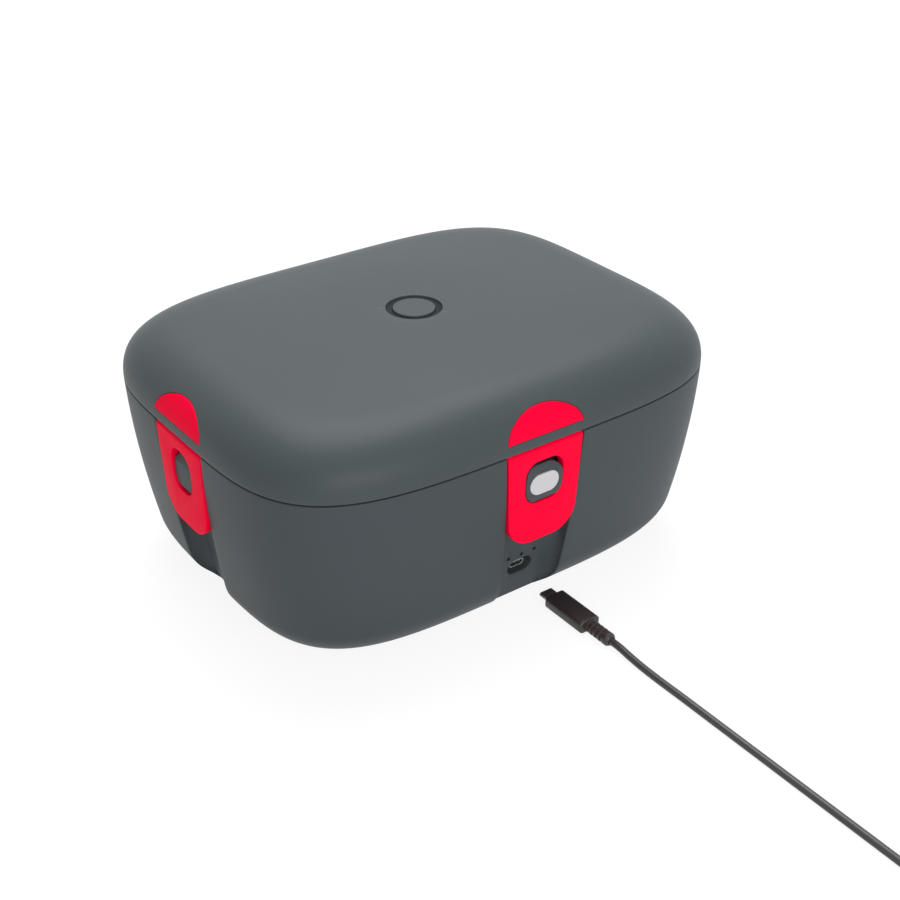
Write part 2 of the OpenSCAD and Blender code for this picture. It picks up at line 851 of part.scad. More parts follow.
module light_ring() {
    color(near_black) difference() {
        union() {
            translate([0, 0, ring_low]) cylinder(r = ring_r, h = top_z - ring_drop - ring_low);
            translate([0, 0, shell_under - ring_flange_t - touch])
                cylinder(r = tower_r, h = ring_flange_t);
        }
        translate([0, 0, ring_low - 1]) cylinder(r = ring_bore, h = 20);
        translate([0, 0, ring_low - 1])
            cylinder(r = ring_bore + 1.2, h = skirt_z + button_skirt + 0.1 - ring_low + 1);
    }
}

module button_cap() {
    color(slate) {
        translate([0, 0, top_z - button_t - 0.5]) cylinder(r = button_r, h = button_t + 0.5);
        translate([0, 0, skirt_z]) cylinder(r = ring_bore + 1, h = button_skirt);
        translate([0, 0, stem_low]) cylinder(r = 2, h = skirt_z - stem_low + 0.5);
    }
}

// Spring: one wire swept along a helix between the board and the button
spring_r = 5.4;
spring_low = switch_board_z + switch_board_t + spring_wire / 2 + touch;
spring_high = skirt_z - spring_wire / 2 - touch;
spring_path = [for (i = [0 : 12 * spring_turns])
    let (a = 30 * i, s = i / (12 * spring_turns))
    [spring_r * cos(a), spring_r * sin(a), spring_low + (spring_high - spring_low) * s]];

module button_spring() {
    color(metal) tube(spring_path, spring_wire / 2, 6);
}

module button_board() {
    color(board_green) translate([0, 0, switch_board_z])
        cylinder(r = tower_r - tower_wall - 0.2, h = switch_board_t);
}

module button_switch() {
    color(near_black) translate([-3, -3, switch_board_z + switch_board_t]) cube([6, 6, switch_h - 0.6]);
    color(metal) translate([0, 0, switch_board_z + switch_board_t + switch_h - 1]) cylinder(r = 1.7, h = 1);
}

module button_tower() {
    color(near_black) difference() {
        translate([0, 0, part_z + rim_t]) cylinder(r = tower_r, h = tower_top - part_z - rim_t);
        translate([0, 0, switch_board_z]) cylinder(r = tower_r - tower_wall, h = 30);
        translate([0, 0, part_z + rim_t - 1]) cylinder(r = tower_r - tower_wall - 2, h = 30);
    }
}

// ---- Charging lead ----

function unit(v) = v / norm(v);
function tangent(p, i) = unit(p[min(i + 1, len(p) - 1)] - p[max(i - 1, 0)]);

// Tube of n sides along a list of points; its frame stays level, so it never twists
module tube(p, r, n) {
    m = len(p);
    pts = [for (i = [0 : m - 1])
        let (t = tangent(p, i), side = unit(cross(t, [0, 0, 1])), up = cross(side, t))
        for (j = [0 : n - 1]) p[i] + r * (cos(360 * (j + 0.5) / n) * side + sin(360 * (j + 0.5) / n) * up)];
    polyhedron(points = pts, faces = [
        [for (j = [n - 1 : -1 : 0]) j],
        for (i = [0 : m - 2]) for (j = [0 : n - 1]) each [
            [i * n + j, i * n + (j + 1) % n, (i + 1) * n + (j + 1) % n],
            [i * n + j, (i + 1) * n + (j + 1) % n, (i + 1) * n + j]
        ],
        [for (j = [0 : n - 1]) (m - 1) * n + j]
    ], convexity = 8);
}

lead_r = lead_d / 2;
lead_x = 13;
tip_y = -97;
shell_l = 6.7;
grip_l = 28;
relief_l = 16;
grip_y = tip_y - shell_l;
relief_y = grip_y - grip_l;
lead_y = relief_y - relief_l;
plug_z_mid = grip_t / 2;
coil_y = -362;
coil_lift = 0.9;
coil_z = lead_r + coil_lift;
coil_x = lead_x + coil_r;

// Route of the lead from the plug to the coil: along the ground, straight
lead_route = [
    [lead_x, lead_y, plug_z_mid],
    [lead_x, -153, plug_z_mid],
    [lead_x, -162, 2.6],
    [lead_x, -172, 1.9],
    [lead_x, -200, 1.9],
    [lead_x, -230, 1.9],
    [lead_x, -260, 1.9],
    [lead_x, -290, 1.9],
    [lead_x, -320, 1.9],
    [lead_x, -338, 1.9],
    [lead_x, -348, 2.4],
    [lead_x, -354, coil_z],
    [lead_x, coil_y + lead_d, coil_z]
];

// Coil: in on the lower layer, up a layer in half a turn, out on the upper layer
inner_r = coil_r - coil_step * coil_turns;
total_turns = 2 * coil_turns + 0.5;
function coil_radius(n) =
    n < coil_turns ? coil_r - coil_step * n
    : n < coil_turns + 0.25 ? inner_r - coil_step * (n - coil_turns)
    : n < coil_turns + 0.5 ? inner_r - coil_step * (coil_turns + 0.5 - n)
    : inner_r + coil_step * (n - coil_turns - 0.5);
function coil_climb(n) = coil_step * (1 - cos(180 * max(0, min(1, (n - coil_turns) / 0.5)))) / 2;
function coil_point(n) = [
    coil_x - coil_radius(n) * cos(360 * n),
    coil_y - coil_radius(n) * sin(360 * n),
    coil_z + coil_climb(n)
];
coil_per_turn = 20;
coil_count = round(total_turns * coil_per_turn);
far_x = coil_x - coil_r;
far_z = 4;
far_route = [
    [far_x, coil_y - 8, coil_z + coil_step],
    [far_x, coil_y - 17, coil_z + coil_step],
    [far_x, coil_y - 25, 5.2],
    [far_x, coil_y - 32, far_z],
    [far_x, coil_y - 36, far_z]
];
coil_path = concat(
    [[lead_x, coil_y + lead_d, coil_z]],
    [for (i = [0 : coil_count]) coil_point(i / coil_per_turn)],
    far_route
);

// Least gap of the coil to itself, on points at least a third of a turn apart
coil_gap = min([for (i = [0 : len(coil_path) - 8]) for (j = [i + 7 : len(coil_path) - 1])
    norm(coil_path[i] - coil_path[j])]) - lead_d;
echo(coil_least_gap = coil_gap);

module charging_lead() {
    color(near_black) tube(lead_route, lead_r, 8);
}

module charging_lead_coil() {
    color(near_black) tube(coil_path, lead_r, 6);
}

module plug_shell() {
    color(near_black) difference() {
        front_prism(grip_y - 4, tip_y) translate([lead_x, plug_z_mid]) round_rect(8.25, 2.4, 1.19);
        front_prism(tip_y - 6, tip_y + 1) translate([lead_x, plug_z_mid]) round_rect(7.6, 1.8, 0.89);
    }
}

module plug_grip() {
    ribs = 3;
    rib_gap = 1.6;
    rib_pitch = 3.6;
    relief_r = 3.4;
    color(near_black) difference() {
        union() {
            front_prism(relief_y, grip_y) translate([lead_x, plug_z_mid])
                round_rect(grip_w, grip_t, 2.6);
            translate([lead_x, relief_y + 1, plug_z_mid]) rotate([90, 0, 0])
                cylinder(r = lead_r + 0.9, h = relief_l);
            for (i = [0 : ribs]) translate([lead_x, relief_y - 0.5 - i * rib_pitch, plug_z_mid])
                rotate([90, 0, 0])
                cylinder(r = relief_r,
                    h = i == ribs ? relief_l - ribs * rib_pitch - 0.5 : rib_pitch - rib_gap);
        }
        front_prism(grip_y - 4, grip_y + 1) translate([lead_x, plug_z_mid]) round_rect(8.25, 2.4, 1.19);
    }
}

module lead_tie() {
    t = 0.7;
    w = 8;
    r_in = inner_r - coil_step / 4 - lead_r - 1;
    r_out = coil_r + lead_r + 0.5;
    low = t;
    high = coil_z + coil_step + lead_r + 0.3;
    color(red) translate([coil_x + (r_in + r_out) / 2, coil_y, 0]) difference() {
        translate([-(r_out - r_in) / 2 - t, -w / 2, 0]) cube([r_out - r_in + 2 * t, w, high + t]);
        translate([-(r_out - r_in) / 2, -w / 2 - 1, low]) cube([r_out - r_in, w + 2, high - low]);
    }
}

far_grip_y = coil_y - 36;
far_grip_l = 26;
far_shell_l = 12;
far_shell_w = 12;
far_shell_h = 4.5;
far_shell_wall = 0.3;

module far_plug_grip() {
    color(near_black) difference() {
        front_prism(far_grip_y - far_grip_l, far_grip_y) translate([far_x, far_z]) round_rect(16, 8, 2);
        front_prism(far_grip_y - far_grip_l - 1, far_grip_y - far_grip_l + 5)
            translate([far_x, far_z]) square([far_shell_w, far_shell_h], center = true);
    }
}

module far_plug_shell() {
    color(metal) difference() {
        front_prism(far_grip_y - far_grip_l - far_shell_l, far_grip_y - far_grip_l + 5)
            translate([far_x, far_z]) square([far_shell_w, far_shell_h], center = true);
        front_prism(far_grip_y - far_grip_l - far_shell_l - 1, far_grip_y - far_grip_l - 2)
            translate([far_x, far_z + 0.9])
                square([far_shell_w - 2 * far_shell_wall, 2.1], center = true);
    }
}

outer_shell();
base_plate();
for (i = [0 : 3])
    foot(i);
base_screws();
collar();
heating_well();
heater_plate();
insulation_jacket();
temperature_sensor();
thermal_fuse();
battery_holder();
for (i = [0 : 3])
    battery_cell(i);
control_board();
board_parts();
usb_socket();
indicator_lights();
inner_dish();
pill_inlay();
contact_pins();
lid_shell();
lid_liner();
lid_gasket();
lid_screws();
light_ring();
button_cap();
button_spring();
button_board();
button_switch();
button_tower();
contact_pads();
for (k = [0 : 3]) {
    knob_cap(k);
    strap(k);
    strap_pin(k);
    moon_cover(k);
}
plug_shell();
plug_grip();
charging_lead();
charging_lead_coil();
lead_tie();
far_plug_shell();
far_plug_grip();
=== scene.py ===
"""Heated lunch box: smooth shells, soft latches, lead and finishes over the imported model."""
import json
from math import atan2, cos, pi, radians, sin

import bpy
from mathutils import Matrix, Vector


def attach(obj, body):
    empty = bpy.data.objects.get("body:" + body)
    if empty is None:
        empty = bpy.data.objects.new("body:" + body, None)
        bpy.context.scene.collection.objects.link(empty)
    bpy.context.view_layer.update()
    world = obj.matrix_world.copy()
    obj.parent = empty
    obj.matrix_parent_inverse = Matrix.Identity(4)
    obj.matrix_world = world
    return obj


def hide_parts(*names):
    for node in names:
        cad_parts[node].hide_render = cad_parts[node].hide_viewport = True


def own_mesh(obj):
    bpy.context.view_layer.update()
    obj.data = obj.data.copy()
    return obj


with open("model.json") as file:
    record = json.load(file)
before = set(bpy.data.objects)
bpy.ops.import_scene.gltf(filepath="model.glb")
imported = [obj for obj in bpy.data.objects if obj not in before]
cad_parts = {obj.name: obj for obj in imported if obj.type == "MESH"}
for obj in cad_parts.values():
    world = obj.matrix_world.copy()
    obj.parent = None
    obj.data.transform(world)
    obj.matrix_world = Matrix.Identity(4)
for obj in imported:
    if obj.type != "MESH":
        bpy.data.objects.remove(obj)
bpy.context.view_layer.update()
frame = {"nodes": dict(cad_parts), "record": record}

MM = 0.001
BOX_L, BOX_W = 274.8, 217.2
HALF = [BOX_W / 2, BOX_L / 2, BOX_W / 2, BOX_L / 2]
SIDES = ["front", "right", "back", "left"]
PLAN_POWER = 4.15
BASE_H = 100.3
PART_Z = 101.3
DECK_Z = 100.9
SHOULDER_H, SHOULDER_W, SHOULDER_POWER = 27.3, 35.7, 2.37
CROWN_H = 2.8
TOP_Z = PART_Z + SHOULDER_H + CROWN_H
STRAIGHT_H, FOOT_R = 80.3, 20.0
CHANNEL_D = 9.0
PIN_Z, PIN_IN = 98.3, 2.8
TIP_Z, LEAN = 47.8, 1.3
KNOB_Z = 79.775
KNOB_FACE = LEAN * (PART_Z - KNOB_Z) / (PART_Z - TIP_Z)
INLAY_Z = KNOB_Z - 0.1
SOCKET_Z, PORT_BACK = 22.3, -84.5
LIGHT_X, LIGHT_Z = (-8.2, 0, 8.2), 29.9
PLATE_IN, PLATE_TOP, WALL_T = 45.4, 3.5, 2.5
RIM_IN, RIM_Z = 5.2, 104.3
SCREW_AT, FOOT_AT, LID_SCREW_AT = (70, 50), (74, 34), (92, 60)
LEAD_D = 3.8
LEAD_R = LEAD_D / 2


# ---- Camera and charging lead ----

def add_object(name, data):
    made = bpy.data.objects.new(name, data)
    bpy.context.collection.objects.link(made)
    return made


def set_camera():
    data = bpy.data.cameras.new("camera")
    data.lens, data.sensor_width, data.clip_end = 58.373, 36, 20
    camera = add_object("camera", data)
    camera.location = (-0.38568, -0.56175, 0.44420)
    camera.rotation_euler = (radians(59.73), 0, radians(-36.02))
    bpy.context.scene.camera = camera


set_camera()

COIL_X, COIL_Y, COIL_Z = 39.4, -362.0, 2.8
COIL_R, COIL_TURNS, COIL_STEP = 26.4, 2.75, 4.3
PLUG_X, PLUG_Z = 13.0, 3.6


def coil_point(n):
    """Inwards turn by turn in the lower layer, up over half a turn, and out again in the upper one."""
    past, turn = n - COIL_TURNS, 2 * pi * n
    r = COIL_R - COIL_STEP * (COIL_TURNS + (past if past < 0.25 else 0.5 - past))
    climb = COIL_STEP * (1 - cos(pi * max(0, min(1, past / 0.5)))) / 2
    return COIL_X - r * cos(turn), COIL_Y - r * sin(turn), COIL_Z + climb


def lead_route():
    """The lead's points: straight along the ground, round the coil, and out to the far plug."""
    straight = [(-141, PLUG_Z), (-147.7, PLUG_Z), (-153, PLUG_Z), (-162, 2.6)]
    straight += [(y, LEAD_R) for y in (-172, -200, -230, -260, -290, -320, -338)]
    straight += [(-348, 2.4), (-354, COIL_Z), (-358.2, COIL_Z)]
    out = [(-370, 7.1), (-379, 7.1), (-387, 5.2), (-394, 4), (-398, 4), (-401, 4)]
    return ([(PLUG_X, y, z) for y, z in straight] + [coil_point(i / 20) for i in range(121)]
            + [(PLUG_X, y, z) for y, z in out])


def new_wire(name, r, fineness, kind):
    """Data of a round wire of radius r in mm, and its line, which has one point so far."""
    curve = bpy.data.curves.new(name, "CURVE")
    curve.dimensions = "3D"
    curve.bevel_depth = r * MM
    curve.bevel_resolution = fineness
    curve.use_fill_caps = True
    curve.resolution_u = 5
    return curve, curve.splines.new(kind)


def make_lead():
    curve, line = new_wire("charging_cord", LEAD_R, 6, "BEZIER")
    route = lead_route()
    line.bezier_points.add(len(route) - 1)
    for knot, (x, y, z) in zip(line.bezier_points, route):
        knot.co = (x * MM, y * MM, z * MM)
        knot.handle_left_type = knot.handle_right_type = "AUTO"
    return add_object("charging_cord", curve)


lead = make_lead()


# ---- Ways of working ----

def pick(piece):
    """Selects one piece alone."""
    if bpy.context.object and bpy.context.object.mode != "OBJECT":
        bpy.ops.object.mode_set(mode="OBJECT")
    bpy.ops.object.select_all(action="DESELECT")
    piece.select_set(True)
    bpy.context.view_layer.objects.active = piece


def edit(piece):
    pick(piece)
    bpy.ops.object.mode_set(mode="EDIT")
    bpy.ops.mesh.select_all(action="SELECT")


def end_edit(merge=0.0):
    """Merges doubles up to merge mm apart, turns the faces outwards and leaves edit mode."""
    bpy.ops.mesh.select_all(action="SELECT")
    if merge:
        bpy.ops.mesh.remove_doubles(threshold=merge * MM)
    bpy.ops.mesh.normals_make_consistent(inside=False)
    bpy.ops.object.mode_set(mode="OBJECT")


def bake_place():
    """Puts the picked piece's place, turn and size into its mesh."""
    bpy.ops.object.transform_apply(location=True, rotation=True, scale=True)


def name_last(name):
    """Names the primitive just added and puts its place into its mesh."""
    piece = bpy.context.object
    piece.name = piece.data.name = name
    bake_place()
    return piece


def tidy_mesh(piece, angle=32, merge=0.002):
    """Merges doubles, turns the faces outwards and shades by angle."""
    edit(piece)
    end_edit(merge)
    bpy.ops.object.shade_smooth_by_angle(angle=radians(angle))
    return piece


def soften(piece, width, segments=3, angle=40):
    """Rounds the edges sharper than the angle."""
    pick(piece)
    bevel = piece.modifiers.new("soften", "BEVEL")
    bevel.width, bevel.segments = width * MM, segments
    bevel.limit_method, bevel.angle_limit = "ANGLE", radians(angle)
    bevel.use_clamp_overlap = True
    bpy.ops.object.modifier_apply(modifier="soften")
    return piece


def combine(piece, tool, operation):
    """Cuts, joins or trims a piece with a tool, and clears the tool away."""
    pick(piece)
    step = piece.modifiers.new("combine", "BOOLEAN")
    step.solver = "MANIFOLD"
    step.operation = operation
    step.object = tool
    bpy.ops.object.modifier_apply(modifier="combine")
    bpy.data.objects.remove(tool, do_unlink=True)
    return piece


def cut(piece, tool):
    return combine(piece, tool, "DIFFERENCE")


def join(name, pieces):
    pick(pieces[0])
    for piece in pieces[1:]:
        piece.select_set(True)
    if len(pieces) > 1:
        bpy.ops.object.join()
    piece = bpy.context.object
    piece.name = piece.data.name = name
    return piece


def turn_to(piece, k):
    """Turns a piece from the front to side k."""
    pick(piece)
    piece.rotation_euler = (0, 0, k * pi / 2)
    bake_place()
    return piece


def take_to(piece, k):
    """Moves a front piece by the difference of the box's halves and turns it to side k."""
    pick(piece)
    piece.location = (0, (HALF[0] - HALF[k]) * MM, 0)
    bake_place()
    return turn_to(piece, k)


def copy_to(front, k, name):
    mesh = front.data.copy()
    mesh.name = name
    return take_to(add_object(name, mesh), k)


def solid_of(name, points, faces):
    mesh = bpy.data.meshes.new(name)
    mesh.from_pydata(points, [], faces)
    return add_object(name, mesh)


def loft(name, rings, caps=False, angle=32):
    """Skin through rings of points in mm; the last ring meets the first, or both ends get a cap."""
    count, total = len(rings[0]), len(rings)
    faces = []
    for j in range(total - 1 if caps else total):
        low, high = j * count, (j + 1) % total * count
        for i in range(count):
            after = (i + 1) % count
            faces.append((low + i, low + after, high + after, high + i))
    if caps:
        faces.append(tuple(reversed(range(count))))
        faces.append(tuple(range((total - 1) * count, total * count)))
    points = [(x * MM, y * MM, z * MM) for ring in rings for x, y, z in ring]
    return tidy_mesh(solid_of(name, points, faces), angle)


def cylinder(name, r, h, at, axis="z", sides=64):
    """Round bar from its middle, in mm."""
    turn = {"z": (0, 0, 0), "y": (pi / 2, 0, 0), "x": (0, pi / 2, 0)}[axis]
    bpy.ops.mesh.primitive_cylinder_add(vertices=sides, radius=r * MM, depth=h * MM,
                                        location=[v * MM for v in at], rotation=turn)
    return name_last(name)


def block(name, size, at):
    bpy.ops.mesh.primitive_cube_add(size=1, location=[v * MM for v in at])
    bpy.context.object.scale = [v * MM for v in size]
    return name_last(name)


def rounded_slab(name, w, h, r, y0, y1, at=(0, 0), segments=12):
    """Plate with round corners, drawn from the front and pushed from y0 to y1."""
    bpy.ops.mesh.primitive_plane_add(size=1, location=(at[0] * MM, y0 * MM, at[1] * MM),
                                     rotation=(pi / 2, 0, 0))
    bpy.context.object.scale = (w * MM, h * MM, 1)
    slab = name_last(name)
    edit(slab)
    bpy.ops.mesh.bevel(offset=r * MM, segments=segments, affect="VERTICES", clamp_overlap=True)
    bpy.ops.mesh.select_all(action="SELECT")
    bpy.ops.mesh.extrude_region_move(TRANSFORM_OT_translate={"value": (0, (y1 - y0) * MM, 0)})
    end_edit(0.001)
    return slab


def prism(name, outline, start, push):
    """Solid from a flat outline of (a, b) pairs placed by start, pushed along a vector, in mm."""
    points = [Vector(start(a, b)) * MM for a, b in outline]
    piece = solid_of(name, points, [tuple(range(len(points)))])
    edit(piece)
    bpy.ops.mesh.extrude_region_move(TRANSFORM_OT_translate={"value": Vector(push) * MM})
    end_edit()
    return piece


def arc(turn, steps):
    return [turn * i / steps for i in range(steps + 1)]


def lathe(name, profile, at=(0, 0), steps=96):
    """Turned piece: a closed profile of (radius, height) spun round an upright line."""
    return loft(name, [[(at[0] + r * cos(t), at[1] + r * sin(t), z) for t in arc(2 * pi, steps)[:-1]]
                       for r, z in profile])


def rounded_profile(corners, r, steps=4):
    """Closed outline with each corner rounded by up to r."""
    out = []
    for i, corner in enumerate(corners):
        p = Vector(corner)
        back, ahead = Vector(corners[i - 1]) - p, Vector(corners[(i + 1) % len(corners)]) - p
        reach = min(r, back.length * 0.45, ahead.length * 0.45)
        a, b = p + back.normalized() * reach, p + ahead.normalized() * reach
        for k in range(steps + 1):
            t = k / steps
            out.append(tuple(a * (1 - t) ** 2 + p * 2 * t * (1 - t) + b * t ** 2))
    return out


# ---- Forms of the box ----

def sized(value, power):
    return abs(value) ** power


def plan_ring(a, b, power, z, count=224):
    """Outline with flat sides and round corners."""
    ring = []
    for i in range(count):
        t = 2 * pi * (i + 0.5) / count
        r = (sized(cos(t), power) + sized(sin(t), power)) ** (-1 / power)
        ring.append((a * r * cos(t), b * r * sin(t), z))
    return ring


def box_ring(inset, z):
    """Outline of the box, drawn in by an inset."""
    return plan_ring(BOX_L / 2 - inset, BOX_W / 2 - inset, PLAN_POWER, z)


def hoop(name, profile, angle, caps=False):
    """Closed ring piece with the box's plan; profile gives (inset, height)."""
    return loft(name, [box_ring(inset, z) for inset, z in profile], caps, angle)


def plan_plate(name, profile):
    """Solid with the box's plan, closed at both ends; profile gives (inset, height)."""
    return hoop(name, profile, 30, caps=True)


def plan_edge(u, a, b):
    """How far out the plan lies, u off a side's middle; a and b are the halves along it and across."""
    return b * (1 - sized(u / a, PLAN_POWER)) ** (1 / PLAN_POWER)


def at_side(k, x, y, z):
    """A point of the front, turned to side k."""
    for _ in range(k):
        x, y = -y, x
    return x, y, z


def in_corners(x, y):
    return [(x * sx, y * sy) for sx in (-1, 1) for sy in (-1, 1)]


def side_in(d):
    """How far the side has come in at a depth below the parting line."""
    return 3.1 * d / BASE_H + 9.9 * (d / BASE_H) ** 2


def channel_half(d):
    return 23.5 - 0.058 * d


# Points of half a channel's edge and root, wall and floor, and of one corner
ARC, WALL, FLOOR, CORNER = 4, 2, 6, 44
EDGE_R, ROOT_R, LOW_ROOT_R = 0.5, 2.6, 7.5
NO_DEPTH = 0.02


def channel_shape(k, inset, d, grow, notch):
    """Depth, half width and edge radius of channel k in a ring; it closes in where its foot runs out."""
    w = channel_half(d) + grow
    if not notch:
        return 0, w, EDGE_R
    deep = CHANNEL_D + side_in(d) + grow - HALF[k] + plan_edge(w, HALF[(k + 1) % 4] - inset, HALF[k] - inset)
    foot = 7.0
    short = max(0.0, min(foot, foot - deep))
    w += (foot * foot - short * short) ** 0.5 - foot
    return deep, w, min(EDGE_R, deep / 2.2) if deep > NO_DEPTH else EDGE_R


def shell_ring(inset, z, grow=0.0, notch=True):
    """Ring of the base with its four channels; grow pushes the channel's walls and floor back."""
    d = PART_Z - z
    floor = CHANNEL_D + side_in(d) + grow
    root_r = ROOT_R + (LOW_ROOT_R - ROOT_R) * max(0.0, min(1.0, (TIP_Z + 3 - z) / 18))
    shapes = [channel_shape(k, inset, d, grow, notch) for k in range(4)]
    ring = []
    for k, (deep, w, r1) in enumerate(shapes):
        a, b = HALF[(k + 1) % 4] - inset, HALF[k] - inset
        r2 = min(root_r, deep * 0.9 - r1) if deep > NO_DEPTH else ROOT_R

        def face(u):
            return HALF[k] - plan_edge(u, a, b)

        mouth = w + r1
        half = [(w + r1 * (1 - sin(t)), face(mouth) + r1 * (1 - cos(t))) for t in arc(pi / 2, ARC)]
        for i in range(1, WALL + 1):
            t = i / (WALL + 1)
            half.append((w, (face(mouth) + r1) * (1 - t) + (floor - r2) * t))
        half += [(w - r2 * (1 - cos(t)), floor - r2 * (1 - sin(t))) for t in arc(pi / 2, ARC)]
        count = len(half)
        half += [((w - r2) * (1 - i / FLOOR), floor) for i in range(1, FLOOR + 1)]
        if deep > NO_DEPTH:
            half = [(u, max(v, face(u))) for u, v in half]
        else:
            # Where there is no channel its points lie on the plain side, spread out a little
            spread = [u + 0.3 * (0.5 - i / count) * (i < count) for i, (u, v) in enumerate(half)]
            half = [(u, face(u)) for u in spread]
        local = [(-u, v - HALF[k]) for u, v in half] + [(u, v - HALF[k]) for u, v in half[-2::-1]]
        start = atan2(local[-1][0] / a, -local[-1][1] / b)
        u1 = sum(shapes[(k + 1) % 4][1:])
        end = pi / 2 - atan2(u1 / b, plan_edge(u1, b, a) / a)
        for i in range(1, CORNER + 1):
            t = start + (end - start) * i / (CORNER + 1)
            r = (sized(sin(t), PLAN_POWER) + sized(cos(t), PLAN_POWER)) ** (-1 / PLAN_POWER)
            local.append((a * r * sin(t), -b * r * cos(t)))
        ring += [at_side(k, x, y, z) for x, y in local]
    return ring


def plain_rings(places):
    return [shell_ring(inset, z, notch=False) for inset, z in places]


def base_shell_rings():
    """Rings of the base's skin, from the plate's opening out, up, over the deck and back inside."""
    low, bend = PART_Z - BASE_H, PART_Z - STRAIGHT_H
    rings = plain_rings([(PLATE_IN, low), (40, low)])
    for t in arc(pi / 2, 16)[::-1]:
        d = STRAIGHT_H + FOOT_R * sin(t)
        rings.append(shell_ring(side_in(d) + FOOT_R * (1 - cos(t)), PART_Z - d))
    edge_r = 0.6
    top = DECK_Z - 0.25 - edge_r
    for i in range(1, 25):
        z = bend + (top - bend) * i / 24
        rings.append(shell_ring(side_in(PART_Z - z), z))
    for t in arc(pi / 2, 5)[1:]:
        back = edge_r * (1 - cos(t))
        rings.append(shell_ring(side_in(0.5) + back, top + edge_r * sin(t), grow=back))
    lip, opening, seat, under = 12.3, 14.3, DECK_Z - 1.2, DECK_Z - 2.6
    rings += plain_rings([(lip - 0.2, DECK_Z), (lip, DECK_Z - 0.2), (lip, seat), (opening, seat),
                          (opening, under)])
    for i in range(9):
        z = under + (bend - under) * i / 8
        rings.append(shell_ring(side_in(PART_Z - z) + WALL_T, z, grow=WALL_T))
    inner_r = 15
    for t in arc(pi / 2, 8)[1:]:
        d = STRAIGHT_H + inner_r * sin(t)
        rings.append(shell_ring(side_in(d) + WALL_T + inner_r * (1 - cos(t)), PART_Z - d, grow=WALL_T))
    return rings + plain_rings([(51.4, 6), (51.4, PLATE_TOP), (PLATE_IN, PLATE_TOP)])


def shoulder_in(h):
    return SHOULDER_W * (1 - (1 - h ** SHOULDER_POWER) ** (1 / SHOULDER_POWER))


# The shoulder hands over to the crown where both lean alike
HAND_OVER = 0.9927
HAND_IN = shoulder_in(HAND_OVER)


def lid_surface(off, steps, crown_steps, hole_r):
    """Rings of the lid's skin from the rim up to the hole for the button, off mm below its surface."""
    rings = []
    rise, top = SHOULDER_H - off, TOP_Z - off
    for t in arc(pi / 2, steps):
        h = HAND_OVER * sin(t)
        rings.append(box_ring(off + shoulder_in(h), PART_Z + h * rise))
    hand_z = PART_Z + HAND_OVER * rise
    a, b = BOX_L / 2 - off - HAND_IN, BOX_W / 2 - off - HAND_IN
    for i in range(1, crown_steps + 1):
        t = i / crown_steps
        s = 1 - t
        power = PLAN_POWER - (PLAN_POWER - 2) * t ** 0.8
        z = hand_z + (top - hand_z) * (1 - ((max(s, 0.12) - 0.12) / 0.88) ** 2)
        rings.append(plan_ring(hole_r + (a - hole_r) * s, hole_r + (b - hole_r) * s, power, z))
    return rings


def surface_y(k, x, z, off):
    """The lid's skin above side k, at a place across and a height, off mm above it."""
    h = max(0.0, min(0.999, (z - PART_Z) / (SHOULDER_H + off)))
    inset = shoulder_in(h) - off
    return -plan_edge(x, HALF[(k + 1) % 4] - inset, HALF[k] - inset)


def moon_outline(grow):
    """Half-moon seen from the front: a flat low edge and a round top, as (x, z)."""
    r, low, up = 22.5 + grow, PART_Z + 5.5, 12.9 + grow
    top = [(r * cos(t), low + up * sin(t)) for t in arc(pi, 56)]
    return top + [(-r + 2 * r * i / 16, low - grow) for i in range(17)]


# ---- Base ----

def channel_floor_y(z):
    return -(HALF[0] - CHANNEL_D - side_in(PART_Z - z))


def port_outline(grow):
    """Recess seen from the front, as (x, z), from the lower right round."""
    w, h, r = 15 + 2 * grow, 9 + 2 * grow, 4.45 + grow
    out = []
    for i, (sx, sz) in enumerate([(1, -1), (1, 1), (-1, 1), (-1, -1)]):
        for j in range(11):
            t = radians(90 * (i - 1) + 9 * j)
            out.append((sx * (w / 2 - r) + r * cos(t), SOCKET_Z + sz * (h / 2 - r) + r * sin(t)))
    return out


def port_tool():
    """Cutter for the port's recess, widened to a round lip where it meets the slanted floor."""
    rings = [[(x, PORT_BACK, z) for x, z in port_outline(0)]]
    for deep, grow in [(0.6, 0), (0.4, 0.03), (0.2, 0.13), (0.07, 0.3), (0, 0.55), (-0.3, 0.7), (-3, 0.7)]:
        rings.append([(x, channel_floor_y(z) + deep, z) for x, z in port_outline(grow)])
    return loft("port_tool", rings, caps=True)


def make_base_shell():
    shell = loft("base_shell", base_shell_rings())
    combine(shell, rounded_slab("port_cup", 18.6, 12.6, 6.25, -89.9, -82.7, (0, SOCKET_Z)), "UNION")
    cut(shell, port_tool())
    cut(shell, rounded_slab("socket_hole", 9.1, 3.42, 1.7, -85.5, -81, (0, SOCKET_Z)))
    for x in LIGHT_X:
        cut(shell, cylinder("light_hole", 1.12, 6, (x, -92, LIGHT_Z), "y", 32))
    for k in range(4):
        for x in (-24.35, 24.35):
            cut(shell, turn_to(block("pocket", (3.1, 4, 14), (x, PIN_IN - HALF[k], 103.3)), k))
    return tidy_mesh(shell, 30)


